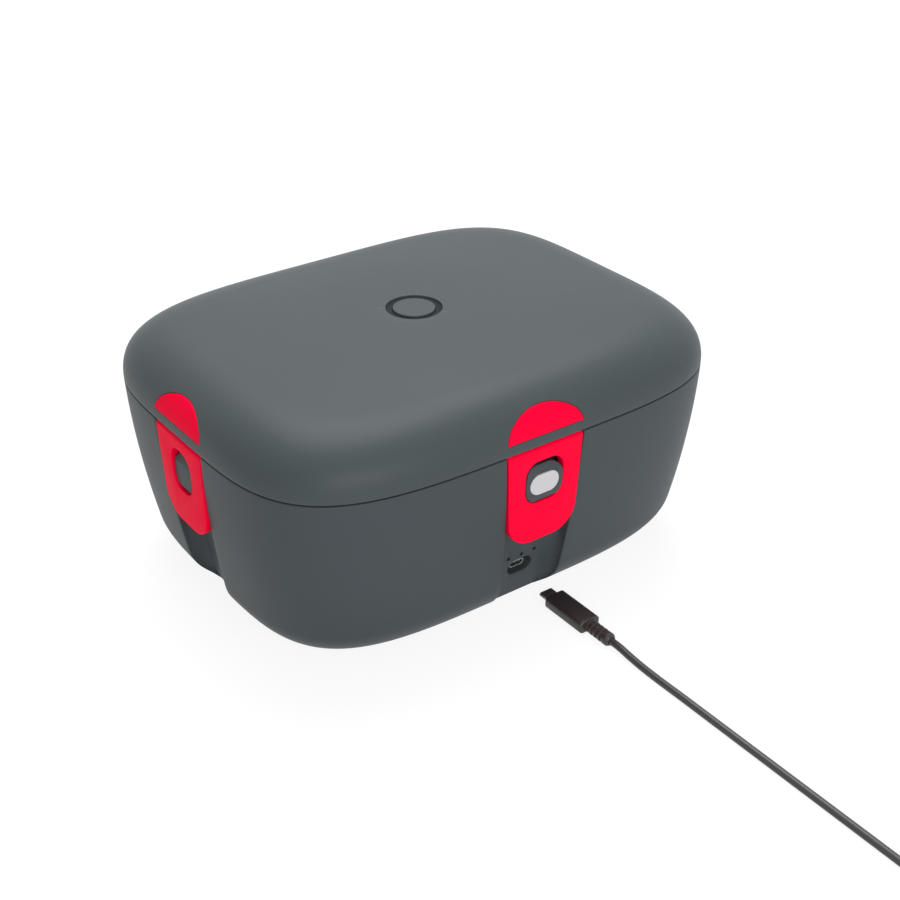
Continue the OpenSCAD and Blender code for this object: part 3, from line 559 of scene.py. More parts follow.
def make_knob(k):
    """Knob that the strap's window goes over, with its neck; the front one is wider, to hold the inlay."""
    h = HALF[0]
    top, low, far = 89.3, 70.25, -HALF[0] - 3
    wide, face = (18.8, -h + KNOB_FACE + 1.3) if k else (22.3, -h + KNOB_FACE)
    knob = rounded_slab("knob", wide, 19.05, 7.4, face, -h + 5.9, (0, KNOB_Z), 14)
    for end, reach, back, past in [(top, -5, 2.2, 2), (low, 1.2, 1, -2)]:
        slope = [(far, end + reach), (face, end + reach), (face + back, end), (face + back, end + past),
                 (far, end + past)]
        cut(knob, prism("slope", slope, lambda a, b: (-12, a, b), (24, 0, 0)))
    soften(knob, 0.7, 4, 25)
    if k == 0:
        cut(knob, rounded_slab("inlay_place", 17.8, 11.4, 5.69, -h, face + 0.9, (0, INLAY_Z), 16))
    neck = rounded_slab("neck", wide - 2.8, 16.25, 5.35, -h + 5.6, -h + 13, (0, KNOB_Z))
    return take_to(tidy_mesh(join(f"knob_{SIDES[k]}", [knob, neck]), 35), k)


def make_inlay():
    face = -HALF[0] + KNOB_FACE
    inlay = rounded_slab("pale_inlay", 17.4, 11, 5.49, face - 0.3, face + 0.9, (0, INLAY_Z), 20)
    return tidy_mesh(soften(inlay, 0.3, 4), 40)


def make_foot(name, x, y):
    profile = [(0.4, 0), (5.2, 0), (5.4, 0.35), (6.0, 0.35), (6.2, 0), (7, 0), (7, 1.8), (0.4, 1.8)]
    return lathe(name, rounded_profile(profile, 0.3), (x, y), 64)


def make_base_plate():
    plate = plan_plate("base_plate_skin", [(45.7, PLATE_TOP), (45.7, 1.4), (45.82, 1.12), (46.1, 1.0)])
    for screw, foot in zip(in_corners(*SCREW_AT), in_corners(*FOOT_AT)):
        cut(plate, cylinder("screw_place", 3.0, 2.4, (*screw, 1.0), sides=48))
        cut(plate, cylinder("foot_place", 7.15, 1.6, (*foot, 1.0)))
    return tidy_mesh(plate, 30)


def make_screws(name, places, z, head_r, body_r, body_l):
    """Screws with a domed head, which looks down, and a cross recess."""
    screws, head_t = [], 1.2
    for x, y in places:
        profile = [(0.02, 0), (head_r * 0.86, 0), (head_r, head_t * 0.45), (head_r, head_t),
                   (body_r, head_t), (body_r, head_t + body_l), (0.02, head_t + body_l)]
        screw = lathe("screw", rounded_profile([(r, z + h) for r, h in profile], 0.25, 3), (x, y), 40)
        for size in ((head_r * 1.15, 0.55), (0.55, head_r * 1.15)):
            cut(screw, block("slot", (*size, 1.3), (x, y, z)))
        screws.append(tidy_mesh(screw, 35, 0.01))
    return join(name, screws)


def tub_profile(top_in, floor_z, top_z, r, rim_in):
    """Section of a pressed tub with a flat rim, from the outer floor round to the inner floor."""
    wall, bend, draft = 1.2, 1.2, 4.5
    top = top_z + wall
    outer, inner = [], []
    for t in arc(pi / 2, 8)[::-1]:
        for side, off in ((outer, 0), (inner, wall)):
            side.append((top_in + off + draft + (r - off) * (1 - cos(t)),
                         floor_z + off + (r - off) * (1 - sin(t))))
    outer += [(top_in, top_z - bend), (top_in - 0.35 * bend, top_z - 0.35 * bend), (top_in - bend, top_z)]
    rim = [(rim_in + 0.4, top_z), (rim_in, top_z + 0.2), (rim_in, top - 0.2), (rim_in + 0.4, top)]
    over = [(top_in - bend + wall, top), (top_in + wall - 0.3 * bend, top - 0.3 * bend),
            (top_in + wall, top - bend)]
    return [(60, floor_z)] + outer + rim + over + inner[::-1] + [(60, floor_z + wall)]


def make_tubs():
    return (plan_plate("warming_well", tub_profile(22.9, 31.0, 91.4, 8, 18.3)),
            plan_plate("food_dish", tub_profile(25.1, 32.5, 92.6, 5.8, 18.6)))


def make_collar():
    corners = [(14.5, 88.9), (22.4, 88.9), (22.4, 91.4), (17.9, 91.4), (17.9, 100.9), (12.5, 100.9),
               (12.5, 99.7), (14.5, 99.7)]
    return hoop("well_collar", rounded_profile(corners, 0.6), 35)


def make_socket():
    """Socket: a thin metal mouth with a black tongue in it."""
    mouth = rounded_slab("charging_socket", 8.94, 3.26, 1.62, -88.5, -76.5, (0, SOCKET_Z), 10)
    cut(mouth, rounded_slab("inside", 8.34, 2.66, 1.32, -89.5, -77.3, (0, SOCKET_Z), 10))
    tidy_mesh(soften(mouth, 0.09, 2), 35)
    tongue = rounded_slab("socket_tongue", 6.6, 0.7, 0.2, -87.5, -77.2, (0, SOCKET_Z), 4)
    return mouth, tidy_mesh(soften(tongue, 0.12, 2), 35)


def make_lights():
    lights = [cylinder("light", 1.0, 5, (x, -89.45, LIGHT_Z), "y", 32) for x in LIGHT_X]
    return join("status_lights", [tidy_mesh(soften(light, 0.35, 4), 40) for light in lights])


# ---- Latches ----

def make_strap(window_w, tip_z):
    """Front strap: a plate that thins downwards, rolled over its pin, with a window."""
    h = HALF[0]
    side = [(-h + LEAN, tip_z - 1), (-h + LEAN + 3.4, tip_z - 1)]
    side += [(-h + PIN_IN + PIN_IN * cos(t), PIN_Z + PIN_IN * sin(t)) for t in arc(pi, 24)]
    strap = prism("strap_front_skin", side, lambda a, b: (-26, a, b), (52, 0, 0))
    r = 14.5
    corner = tip_z + r
    wide = channel_half(PART_Z - corner) - 0.35
    right = [(wide - r + r * cos(t), corner - r * sin(t)) for t in arc(pi / 2, 16)[::-1]]
    right.append((22.81, 102.1))
    outline = [(-x, z) for x, z in reversed(right)] + right
    combine(strap, prism("outline", outline, lambda a, b: (a, -h - 3, b), (0, 12, 0)), "INTERSECT")
    cut(strap, rounded_slab("window", window_w, 23, 7.75, -h - 3, -h + 8, (0, 81.4), 16))
    soften(strap, 0.55, 4, 35)
    cut(strap, cylinder("bore", 0.95, 60, (0, -h + PIN_IN, PIN_Z), "x", 40))
    return tidy_mesh(strap, 33)


# ---- Lid ----

def moon_layer(k, size, grow, off):
    """The half-moon's outline laid on side k of the lid."""
    middle = PART_Z + 11.5
    points = []
    for x, z in moon_outline(grow):
        x, z = x * size, middle + (z - middle) * size
        points.append(at_side(k, x, surface_y(k, x, z, off), z))
    return points


def make_cover(k):
    layers = [(s, -0.05, -1.0) for s in (0.04, 0.3, 0.6, 0.85, 1)]
    layers += [(1, -0.05, -0.1), (1, -0.1, 0.06), (1, -0.2, 0.16), (1, -0.4, 0.2)]
    layers += [(s, -0.4, 0.2) for s in (0.92, 0.78, 0.6, 0.4, 0.2, 0.04)]
    return loft(f"half_moon_{SIDES[k]}", [moon_layer(k, *layer) for layer in layers], caps=True, angle=50)


def cover_place(k):
    layers = [(s, 0.2, -1.1) for s in (0.04, 0.5, 1)]
    layers += [(1, 0.2, -0.4), (1, 0.23, -0.15), (1, 0.32, -0.03), (1, 0.5, 0.06)]
    layers += [(s, 0.9, 1.2) for s in (1, 0.5, 0.04)]
    return loft("cover_place", [moon_layer(k, *layer) for layer in layers], caps=True)


def make_lid_shell():
    rings = [box_ring(inset, z) for inset, z in [
        (RIM_IN, PART_Z + 0.2), (RIM_IN + 0.2, PART_Z), (0.5, PART_Z), (0.3, 101.34), (0.12, 101.46),
        (0.04, 101.62)]]
    rings += [ring for ring in lid_surface(0, 26, 16, 14.95) if ring[0][2] > 101.9]
    for r, down in [(14.78, 0.05), (14.63, 0.18), (14.6, 0.4), (14.6, 2.2)]:
        rings.append(plan_ring(r, r, 2, TOP_Z - down))
    rings += [ring for ring in lid_surface(2.2, 14, 8, 15.1)[::-1] if ring[0][2] > 104.5]
    rings += [box_ring(inset, RIM_Z) for inset in (2.35, RIM_IN)]
    shell = loft("lid_skin", rings)
    for k in range(4):
        cut(shell, cover_place(k))
    return tidy_mesh(shell, 30)


def make_lugs():
    """Small ears under the lid's rim that hold the strap pins."""
    lugs, r, y = [], 1.7, PIN_IN - HALF[0]
    ear = [(y + r * cos(pi + t), PIN_Z + r * sin(pi + t)) for t in arc(pi, 16)]
    ear += [(y + r, PART_Z + 0.4), (y - r, PART_Z + 0.4)]
    for k in range(4):
        for x in (23.4, -25.6):
            lug = prism("lug", ear, lambda a, b: (x, a, b), (2.2, 0, 0))
            lugs.append(take_to(soften(lug, 0.2, 2, 60), k))
    return tidy_mesh(join("pin_lugs", lugs), 35)


def make_light_ring():
    corners = [(14.4, 125.0), (14.4, 127.95), (17, 127.95), (17, 129.15), (14.4, 129.15), (14.4, 130.6),
               (13.6, 130.6), (13.3, 130.3), (11.2, 130.3), (11.2, 128.5), (12.4, 128.5), (12.4, 125.0)]
    return lathe("glow_ring", rounded_profile(corners, 0.25, 3), steps=128)


def make_button():
    profile = [(1.7, 124.3), (2, 124.6), (2, 127.4), (12.2, 127.4), (12.2, 128.4), (11, 128.4)]
    profile += [(11 - 0.5 * (1 - cos(t)), 130.9 + 0.5 * sin(t)) for t in arc(pi / 2, 5)]
    profile += [(9.5, 131.4), (6, 131.4), (2, 131.4), (0.3, 131.4)]
    rings = [plan_ring(r, r, 2, z, 128) for r, z in profile]
    return loft("power_button", rings, caps=True)


def make_spring():
    turns, count = 4, 24
    curve, line = new_wire("return_spring", 0.35, 3, "POLY")
    line.points.add(count * turns)
    for i, knot in enumerate(line.points):
        t = 2 * pi * i / count
        knot.co = (5.4 * cos(t) * MM, 5.4 * sin(t) * MM, (120.0 + 7.0 * i / (count * turns)) * MM, 1)
    pick(add_object("return_spring", curve))
    bpy.ops.object.convert(target="MESH")
    return tidy_mesh(bpy.context.object, 60)


def make_liner():
    liner = plan_plate("lid_lining", [(5.5, RIM_Z), (5.5, 101.7), (5.62, 101.42), (5.9, PART_Z)])
    for x, y in in_corners(*LID_SCREW_AT):
        cut(liner, cylinder("screw_place", 2.75, 2.4, (x, y, PART_Z), sides=40))
    for x in (46, 52, 58):
        cut(liner, cylinder("pad_place", 1.75, 1.7, (x, 100.1, PART_Z), sides=32))
    return tidy_mesh(liner, 30)


def make_gasket():
    corners = [(18.8, PART_Z), (18.8, 98.6), (18.2, 98.2), (18.2, 97.6), (18.8, 97.2), (18.8, 93.8),
               (21.8, 93.8), (21.8, PART_Z)]
    return hoop("lid_seal", rounded_profile(corners, 0.7, 5), 50)


# ---- Plugs and tie ----

def make_near_plug():
    """Slim plug: a dark metal mouth, a flat grip and a slotted bend relief."""
    mouth = rounded_slab("near_plug_mouth", 8.25, 2.4, 1.19, -97, -107.7, (PLUG_X, PLUG_Z), 10)
    cut(mouth, rounded_slab("inside", 7.6, 1.8, 0.89, -96, -103, (PLUG_X, PLUG_Z), 10))
    tidy_mesh(soften(mouth, 0.12, 3), 35)
    grip = rounded_slab("near_plug_grip", 12.6, 7.2, 2.6, -131.7, -103.7, (PLUG_X, PLUG_Z), 12)
    soften(grip, 1.0, 5, 50)
    return mouth, tidy_mesh(grip, 35)


def turned_along(name, profile):
    """Closed turned piece around the lead's line: profile of (radius, y)."""
    rings = [[(PLUG_X + r * sin(t), y, PLUG_Z + r * cos(t)) for t in arc(2 * pi, 48)[:-1]]
             for r, y in profile]
    return loft(name, rings, angle=35)


def make_relief():
    y, inside, core, rib = -131.2, LEAD_R, 2.6, 3.55
    outline = [(inside, y), (rib, y)]
    for i in range(4):
        outline += [(rib, y - 1.7), (core, y - 1.7)]
        y -= 3.05
        outline += [(core, y), (rib, y)]
    outline += [(rib, -146.2), (2.5, -147.7), (inside, -147.7)]
    return turned_along("bend_relief", rounded_profile(outline, 0.25, 3))


def make_far_plug():
    grip = rounded_slab("far_plug_body", 16, 8, 2, -424, -398, (PLUG_X, 4), 8)
    soften(grip, 0.9, 4, 50)
    tidy_mesh(grip, 35)
    mouth = rounded_slab("far_plug_mouth", 12, 4.5, 0.35, -436, -423.5, (PLUG_X, 4), 4)
    cut(mouth, rounded_slab("inside", 11.4, 2.1, 0.2, -437, -426, (PLUG_X, 4.9), 3))
    for x in (-2.6, 2.6):
        cut(mouth, block("latch_hole", (2.2, 2.4, 1.2), (PLUG_X + x, -430.5, 6.2)))
    return grip, tidy_mesh(soften(mouth, 0.1, 2), 35)


def make_tie():
    """Red hook-and-loop band round the coil's turns."""
    thick = 0.7
    inner_r = COIL_R - COIL_STEP * COIL_TURNS - COIL_STEP / 4
    x0, x1 = COIL_X + inner_r - LEAD_R - 1 - thick, COIL_X + COIL_R + LEAD_R + 0.5 + thick
    high = COIL_Z + COIL_STEP + LEAD_R + 0.3 + thick
    wide, at = x1 - x0, ((x0 + x1) / 2, COIL_Y, high / 2)
    band = block("coil_band", (wide, 8, high), at)
    cut(band, block("inside", (wide - 2 * thick, 10, high - 2 * thick), at))
    return tidy_mesh(soften(band, 0.3, 3, 60), 40)


def make_pin():
    pin = cylinder("strap_pin", 0.9, 51.2, (0, PIN_IN - HALF[0], PIN_Z), "x", 32)
    return tidy_mesh(soften(pin, 0.2, 2, 50), 35)


def make_posts():
    """Posts on the base plate that carry the board."""
    profile = rounded_profile([(1.1, 3.4), (3, 3.4), (3, 19.07), (1.1, 19.07)], 0.3, 2)
    places = [(x, y) for x in (-27, 27) for y in (-51, -18)]
    return join("board_posts", [lathe("board_post", profile, at, 40) for at in places])


# ---- Finishes ----

def feed(tree, node, **inputs):
    """Gives a node's sockets, by name or number, a value or a link from another node's socket."""
    for name, value in inputs.items():
        target = node.inputs[int(name[1:])] if name[1:].isdigit() else node.inputs[name.replace("_", " ")]
        if isinstance(value, bpy.types.NodeSocket):
            tree.links.new(value, target)
        else:
            target.default_value = value
    return node


def put(tree, kind, settings=None, **inputs):
    """Adds a shader node with its settings and its inputs."""
    node = tree.nodes.new(kind)
    for name, value in (settings or {}).items():
        setattr(node, name, value)
    return feed(tree, node, **inputs)


def reckon(tree, operation, a, b, clamp=False):
    return put(tree, "ShaderNodeMath", {"operation": operation, "use_clamp": clamp}, _0=a, _1=b).outputs[0]


def plus(tree, a, b, clamp=False):
    return reckon(tree, "ADD", a, b, clamp)


def times(tree, a, b, clamp=False):
    return reckon(tree, "MULTIPLY", a, b, clamp)


def swing(tree, value, amount):
    """A value's distance from its middle, times an amount."""
    return times(tree, reckon(tree, "SUBTRACT", value, 0.5), amount)


def blend_of(tree, factor, a, b, kind="MIX"):
    return put(tree, "ShaderNodeMix", {"data_type": "RGBA", "blend_type": kind}, _0=factor, _6=a,
               _7=b).outputs[2]


def ramp_of(tree, value, low, high, to_low=0.0):
    """Rises softly from to_low to 1 as the value goes from low to high."""
    return put(tree, "ShaderNodeMapRange", {"interpolation_type": "SMOOTHSTEP"}, Value=value, From_Min=low,
               From_Max=high, To_Min=to_low, To_Max=1.0).outputs["Result"]


def own_place(tree, stretch=None):
    """A point's place on its own piece, so that patterns stay put when the piece moves."""
    place = put(tree, "ShaderNodeTexCoord").outputs["Object"]
    return put(tree, "ShaderNodeMapping", Vector=place, Scale=stretch).outputs[0] if stretch else place


def noise_of(tree, scale, detail=2.0, rough=0.5, stretch=None):
    return put(tree, "ShaderNodeTexNoise", Vector=own_place(tree, stretch), Scale=scale, Detail=detail,
               Roughness=rough).outputs[0]


def new_effect(name, **inputs):
    """A node group with the standard values of its inputs."""
    effect = bpy.data.node_groups.new(name, "ShaderNodeTree")
    for label, value in inputs.items():
        kind = {3: "Vector", 4: "Color"}[len(value)] if isinstance(value, tuple) else "Float"
        made = effect.interface.new_socket(label.replace("_", " "), in_out="INPUT",
                                           socket_type="NodeSocket" + kind)
        made.default_value = value
    return effect, effect.nodes.new("NodeGroupInput").outputs


def end_effect(effect, **outputs):
    for label in outputs:
        kind = "Color" if label == "Color" else "Float"
        effect.interface.new_socket(label, in_out="OUTPUT", socket_type="NodeSocket" + kind)
    feed(effect, effect.nodes.new("NodeGroupOutput"), **outputs)
    return effect


def make_moulded_grain():
    """Spark-eroded grain of a plastic mould, with the faint waves of a large wall."""
    effect, given = new_effect("moulded_grain", Grain_Scale=2400.0)
    fine = noise_of(effect, given["Grain Scale"], 3, 0.55)
    coarse = noise_of(effect, times(effect, given["Grain Scale"], 0.31))
    speckle = plus(effect, times(effect, fine, 0.65), times(effect, coarse, 0.35))
    height = plus(effect, speckle, times(effect, noise_of(effect, 22.0, 1, 0.4), 0.3))
    return end_effect(effect, Height=height, Speckle=speckle)


def make_soft_pores():
    """Fine pores of soft-touch rubber."""
    effect, given = new_effect("soft_pores", Pore_Scale=1700.0)
    pores = put(effect, "ShaderNodeTexVoronoi", {"feature": "SMOOTH_F1"}, Vector=own_place(effect),
                Scale=given["Pore Scale"], Smoothness=0.6).outputs["Distance"]
    rough = noise_of(effect, times(effect, given["Pore Scale"], 0.6))
    return end_effect(effect, Height=plus(effect, times(effect, pores, 0.7), times(effect, rough, 0.5)))


def make_tone_drift():
    """Slow change of tone over a piece, and its grain's light and dark."""
    effect, given = new_effect("tone_drift", Color=(0.1, 0.1, 0.1, 1), Drift=0.08, Drift_Scale=14.0,
                               Speckle=0.5, Speckle_Depth=0.1)
    slow = swing(effect, noise_of(effect, given["Drift Scale"], 3, 0.55), given["Drift"])
    quick = swing(effect, given["Speckle"], given["Speckle Depth"])
    level = plus(effect, plus(effect, slow, quick), 1.0)
    tone = put(effect, "ShaderNodeCombineColor", Red=level, Green=level, Blue=level).outputs[0]
    return end_effect(effect, Color=blend_of(effect, 1.0, given["Color"], tone, "MULTIPLY"))


def make_handled_sheen():
    """Roughness of a surface that hands have touched: smoother patches and fine rubs."""
    effect, given = new_effect("handled_sheen", Roughness=0.5, Patches=0.1, Rubs=0.04)
    patches = swing(effect, noise_of(effect, 26.0, 3, 0.6), given["Patches"])
    rubs = swing(effect, noise_of(effect, 160.0, 4, 0.65, (1.0, 0.25, 0.6)), given["Rubs"])
    return end_effect(effect, Roughness=plus(effect, plus(effect, patches, rubs), given["Roughness"], True))


def make_edge_wear_and_highlight():
    """Paler edges, broken up by noise: a painted highlight along the edges, together with polished wear."""
    effect, given = new_effect("edge_wear_and_highlight", Color=(0.1, 0.1, 0.1, 1), Worn_Color=(0.3, 0.3, 0.3, 1),
                               Amount=0.4)
    # Pointiness picks out the convex edges, which get a paler colour: a painted edge highlight together with
    # wear.
    bend = effect.nodes.new("ShaderNodeNewGeometry").outputs["Pointiness"]
    broken = ramp_of(effect, noise_of(effect, 120.0, 4, 0.65), 0.3, 0.7, 0.35)
    wear = times(effect, times(effect, ramp_of(effect, bend, 0.53, 0.61), broken), given["Amount"], True)
    return end_effect(effect, Color=blend_of(effect, wear, given["Color"], given["Worn Color"]), Wear=wear)


def make_brushed_lines():
    """Fine lines left on metal by brushing along one way."""
    effect, given = new_effect("brushed_lines", Stretch=(1.0, 40.0, 40.0), Roughness=0.3)
    lines = noise_of(effect, 90.0, 4, 0.6, given["Stretch"])
    level = plus(effect, swing(effect, lines, 0.3), swing(effect, noise_of(effect, 40.0, 3, 0.6), 0.12))
    return end_effect(effect, Height=lines, Roughness=plus(effect, level, given["Roughness"], True))


GRAIN, PORES, DRIFT = make_moulded_grain(), make_soft_pores(), make_tone_drift()
SHEEN, WEAR_AND_HIGHLIGHT, BRUSHED = make_handled_sheen(), make_edge_wear_and_highlight(), make_brushed_lines()


def use_effect(tree, effect, **inputs):
    return put(tree, "ShaderNodeGroup", {"node_tree": effect}, **inputs).outputs


def new_finish(name):
    finish = bpy.data.materials.new(name)
    finish.use_nodes = True
    return finish, finish.node_tree


def dress(finish, height, strength, depth, **inputs):
    """Wires a finish's relief, its depth in mm, and what else its shader gets."""
    tree = finish.node_tree
    relief = put(tree, "ShaderNodeBump", Height=height, Strength=strength, Distance=depth * MM)
    feed(tree, tree.nodes["Principled BSDF"], Normal=relief.outputs[0], **inputs)
    return finish


def rgb(color, share=1, lift=0.0):
    """A colour, made darker or paler, with its alpha."""
    return (*[min(1, c * share + lift) for c in color], 1)


def toned(tree, color, speckle, depth, drift=0.1, scale=14.0):
    """A colour that drifts slowly and follows its grain."""
    return use_effect(tree, DRIFT, Color=color, Drift=drift, Drift_Scale=scale, Speckle=speckle,
                      Speckle_Depth=depth)["Color"]


def sheen_of(tree, rough, patches=0.1, rubs=0.04):
    return use_effect(tree, SHEEN, Roughness=rough, Patches=patches, Rubs=rubs)["Roughness"]


def moulding(name, color, rough=0.5, scale=2400.0, depth=0.03, wear=0.35, worn=1.7, **shader):
    """Moulded plastic with a spark-eroded grain."""
    finish, tree = new_finish(name)
    grain = use_effect(tree, GRAIN, Grain_Scale=scale)
    # The paler edges are a painted highlight together with wear; they are also made a little smoother.
    edged = use_effect(tree, WEAR_AND_HIGHLIGHT, Color=toned(tree, rgb(color), grain["Speckle"], 0.1, 0.08),
                       Worn_Color=rgb(color, worn, 0.01), Amount=wear)
    gloss = reckon(tree, "SUBTRACT", sheen_of(tree, rough), times(tree, edged["Wear"], 0.15), True)
    return dress(finish, grain["Height"], 0.5, depth, Base_Color=edged["Color"], Roughness=gloss, **shader)


def soft_rubber(name, color, rough=0.55, pores=1700.0, depth=0.02, wear=0.3, worn=1.3, **shader):
    """Soft-touch rubber: pores, and paler edges that are a painted highlight together with wear."""
    finish, tree = new_finish(name)
    height = use_effect(tree, PORES, Pore_Scale=pores)["Height"]
    # Paler edges: a painted highlight together with wear.
    edged = use_effect(tree, WEAR_AND_HIGHLIGHT, Color=toned(tree, rgb(color), height, 0.06, 0.06),
                       Worn_Color=rgb(color, worn, 0.01), Amount=wear)
    return dress(finish, height, 0.4, depth, Base_Color=edged["Color"],
                 Roughness=sheen_of(tree, rough, 0.12), **shader)


def brushed_metal(name, color, rough, stretch=(1.0, 40.0, 40.0)):
    finish, tree = new_finish(name)
    lines = use_effect(tree, BRUSHED, Stretch=stretch, Roughness=rough)
    # Paler edges: a painted highlight together with wear.
    edged = use_effect(tree, WEAR_AND_HIGHLIGHT, Color=toned(tree, rgb(color), lines["Height"], 0.12, 0.1, 30.0),
                       Worn_Color=rgb(color, 1.25), Amount=0.4)
    return dress(finish, lines["Height"], 0.3, 0.01, Base_Color=edged["Color"],
                 Roughness=lines["Roughness"], Metallic=1.0)


def pressed_fibre(name, color):
    """Matted fibres of the insulation jacket."""
    finish, tree = new_finish(name)
    strands = noise_of(tree, 500.0, 6, 0.7, (1.0, 1.0, 0.22))
    clumps = noise_of(tree, 70.0, 4, 0.6)
    height = plus(tree, strands, times(tree, clumps, 0.6))
    return dress(finish, height, 0.8, 0.4, Base_Color=toned(tree, rgb(color), strands, 0.7, 0.25, 60.0),
                 Roughness=plus(tree, times(tree, clumps, 0.2), 0.75, True))


def film_heater(name, color):
    """Amber film over the winding track of the heater foil."""
    finish, tree = new_finish(name)
    track = put(tree, "ShaderNodeTexWave", {"wave_type": "BANDS", "bands_direction": "Y"},
                Vector=own_place(tree), Scale=28.0, Distortion=0.6, Detail=0.0,
                Detail_Scale=0.6).outputs["Fac"]
    foil = ramp_of(tree, track, 0.42, 0.52)
    tone = blend_of(tree, foil, rgb(color, 0.5), rgb(color))
    return dress(finish, foil, 0.6, 0.1, Base_Color=toned(tree, tone, foil, 0.05, 0.15, 50.0),
                 Roughness=sheen_of(tree, 0.3, 0.15), Metallic=times(tree, foil, 0.5))


def circuit_board(name, color):
    """Solder mask with copper tracks showing through it."""
    finish, tree = new_finish(name)
    cells = put(tree, "ShaderNodeTexVoronoi", {"distance": "CHEBYCHEV", "feature": "F2"},
                Vector=own_place(tree), Scale=190.0).outputs["Distance"]
    tracks = ramp_of(tree, cells, 0.55, 0.6)
    tone = blend_of(tree, tracks, rgb(color), rgb(color, 2.2, 0.01))
    return dress(finish, tracks, 0.5, 0.04, Base_Color=toned(tree, tone, tracks, 0.05),
                 Roughness=sheen_of(tree, 0.35))


def smoked_lens(name, color, rough, shine):
    """Dark plastic with hair scratches."""
    finish, tree = new_finish(name)
    hairs = noise_of(tree, 260.0, 5, 0.7, (0.15, 1.0, 1.0))
    return dress(finish, hairs, 0.15, 0.01, Base_Color=toned(tree, rgb(color), hairs, 0.15, 0.12, 80.0),
                 Roughness=sheen_of(tree, rough, 0.12, 0.08), Specular_IOR_Level=shine)


# Each finish's edge amount and paling set its paler edges: a painted highlight together with wear.
FINISHES = {
    "shell": moulding("slate_moulding", (0.056, 0.067, 0.073), 0.48, worn=1.8, Specular_IOR_Level=0.16),
    "lid": moulding("lid_moulding", (0.059, 0.073, 0.078), 0.45, worn=1.8, Specular_IOR_Level=0.17),
    "inner_plastic": moulding("dark_moulding", (0.03, 0.035, 0.038), 0.5, worn=2.0),
    "liner": moulding("lining_moulding", (0.7, 0.71, 0.71), 0.4, depth=0.015, worn=1.1),
    "red_soft": soft_rubber("red_soft_touch", (0.97, 0.001, 0.04), 0.5, wear=0.15, worn=1.1,
                            Specular_IOR_Level=0.03),
    "cap_soft": soft_rubber("grey_soft_touch", (0.05, 0.062, 0.068), 0.55, worn=1.8, Specular_IOR_Level=0.25),
    "pill": moulding("pale_satin", (0.57, 0.56, 0.58), 0.32, depth=0.01, worn=1.1, wear=0.2),
    "black_rubber": soft_rubber("black_rubber", (0.02, 0.02, 0.02), 0.65, worn=2.0),
    "black_plastic": moulding("black_moulding", (0.025, 0.023, 0.024), 0.5),
    "ring": smoked_lens("smoked_ring", (0.022, 0.026, 0.029), 0.5, 0.05),
    "button": moulding("button_moulding", (0.059, 0.073, 0.078), 0.45, scale=2800.0, wear=0.0,
                       Specular_IOR_Level=0.17),
    "steel": brushed_metal("brushed_steel", (0.62, 0.62, 0.61), 0.26),
    "screw_steel": brushed_metal("screw_steel", (0.5, 0.5, 0.5), 0.34, (12.0, 12.0, 1.0)),
    "well_metal": brushed_metal("pressed_aluminium", (0.66, 0.66, 0.67), 0.4, (1.0, 1.0, 14.0)),
    "heater": film_heater("heater_film", (0.55, 0.36, 0.16)),
    "insulation": pressed_fibre("fibre_jacket", (0.62, 0.58, 0.48)),
    "cell": moulding("cell_sleeve", (0.08, 0.26, 0.5), 0.28, depth=0.01, worn=1.2),
    "board": circuit_board("board_mask", (0.015, 0.12, 0.05)),
    "parts": moulding("chip_black", (0.03, 0.03, 0.03), 0.45, depth=0.02),
    "lights": smoked_lens("dark_lens", (0.004, 0.004, 0.004), 0.5, 0.1),
    "gold": brushed_metal("gold_plate", (0.8, 0.58, 0.22), 0.25, (10.0, 10.0, 1.0)),
    "cord": soft_rubber("lead_jacket", (0.03, 0.029, 0.029), 0.4, pores=5200.0, depth=0.001, wear=0.0),
    "plug_body": soft_rubber("plug_rubber", (0.034, 0.025, 0.026), 0.38, pores=2600.0, depth=0.008, worn=2.2),
    "plug_metal": brushed_metal("dark_plate", (0.24, 0.2, 0.2), 0.42, (1.0, 30.0, 1.0)),
}


# ---- Putting it together ----

def fit(piece, body, slot, *nodes, finish=None):
    """Gives a piece its finish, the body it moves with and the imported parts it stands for."""
    piece.data.materials.clear()
    piece.data.materials.append(FINISHES[finish or slot])
    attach(piece, body)
    if nodes:
        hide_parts(*nodes)
    return piece


def build_base():
    fit(make_base_shell(), "base", "shell", "outer_shell")
    for k in range(4):
        fit(make_knob(k), "base", "cap_soft", f"knob_cap_{SIDES[k]}")
    fit(make_inlay(), "base", "pill", "pill_inlay")
    for i in range(4):
        x, y = FOOT_AT[0] * (1 if i % 2 else -1), FOOT_AT[1] * (-1 if i < 2 else 1)
        fit(make_foot(f"rubber_foot_{i + 1}", x, y), "base", "black_rubber", f"foot_{i + 1}")
    plate = join("base_plate_skin", [make_base_plate(), make_posts()])
    fit(plate, "base", "inner_plastic", "base_plate")
    screws = make_screws("plate_screws", in_corners(*SCREW_AT), 1.0, 2.8, 1.5, 7.5)
    fit(screws, "base", "screw_steel", "base_screws")
    well, dish = make_tubs()
    fit(well, "base", "well_metal", "heating_well")
    fit(dish, "base", "steel", "inner_dish")
    fit(make_collar(), "base", "inner_plastic", "collar")
    socket, tongue = make_socket()
    fit(socket, "base", "steel", "usb_socket")
    fit(tongue, "base", "black_plastic")
    fit(make_lights(), "base", "lights", "indicator_lights")


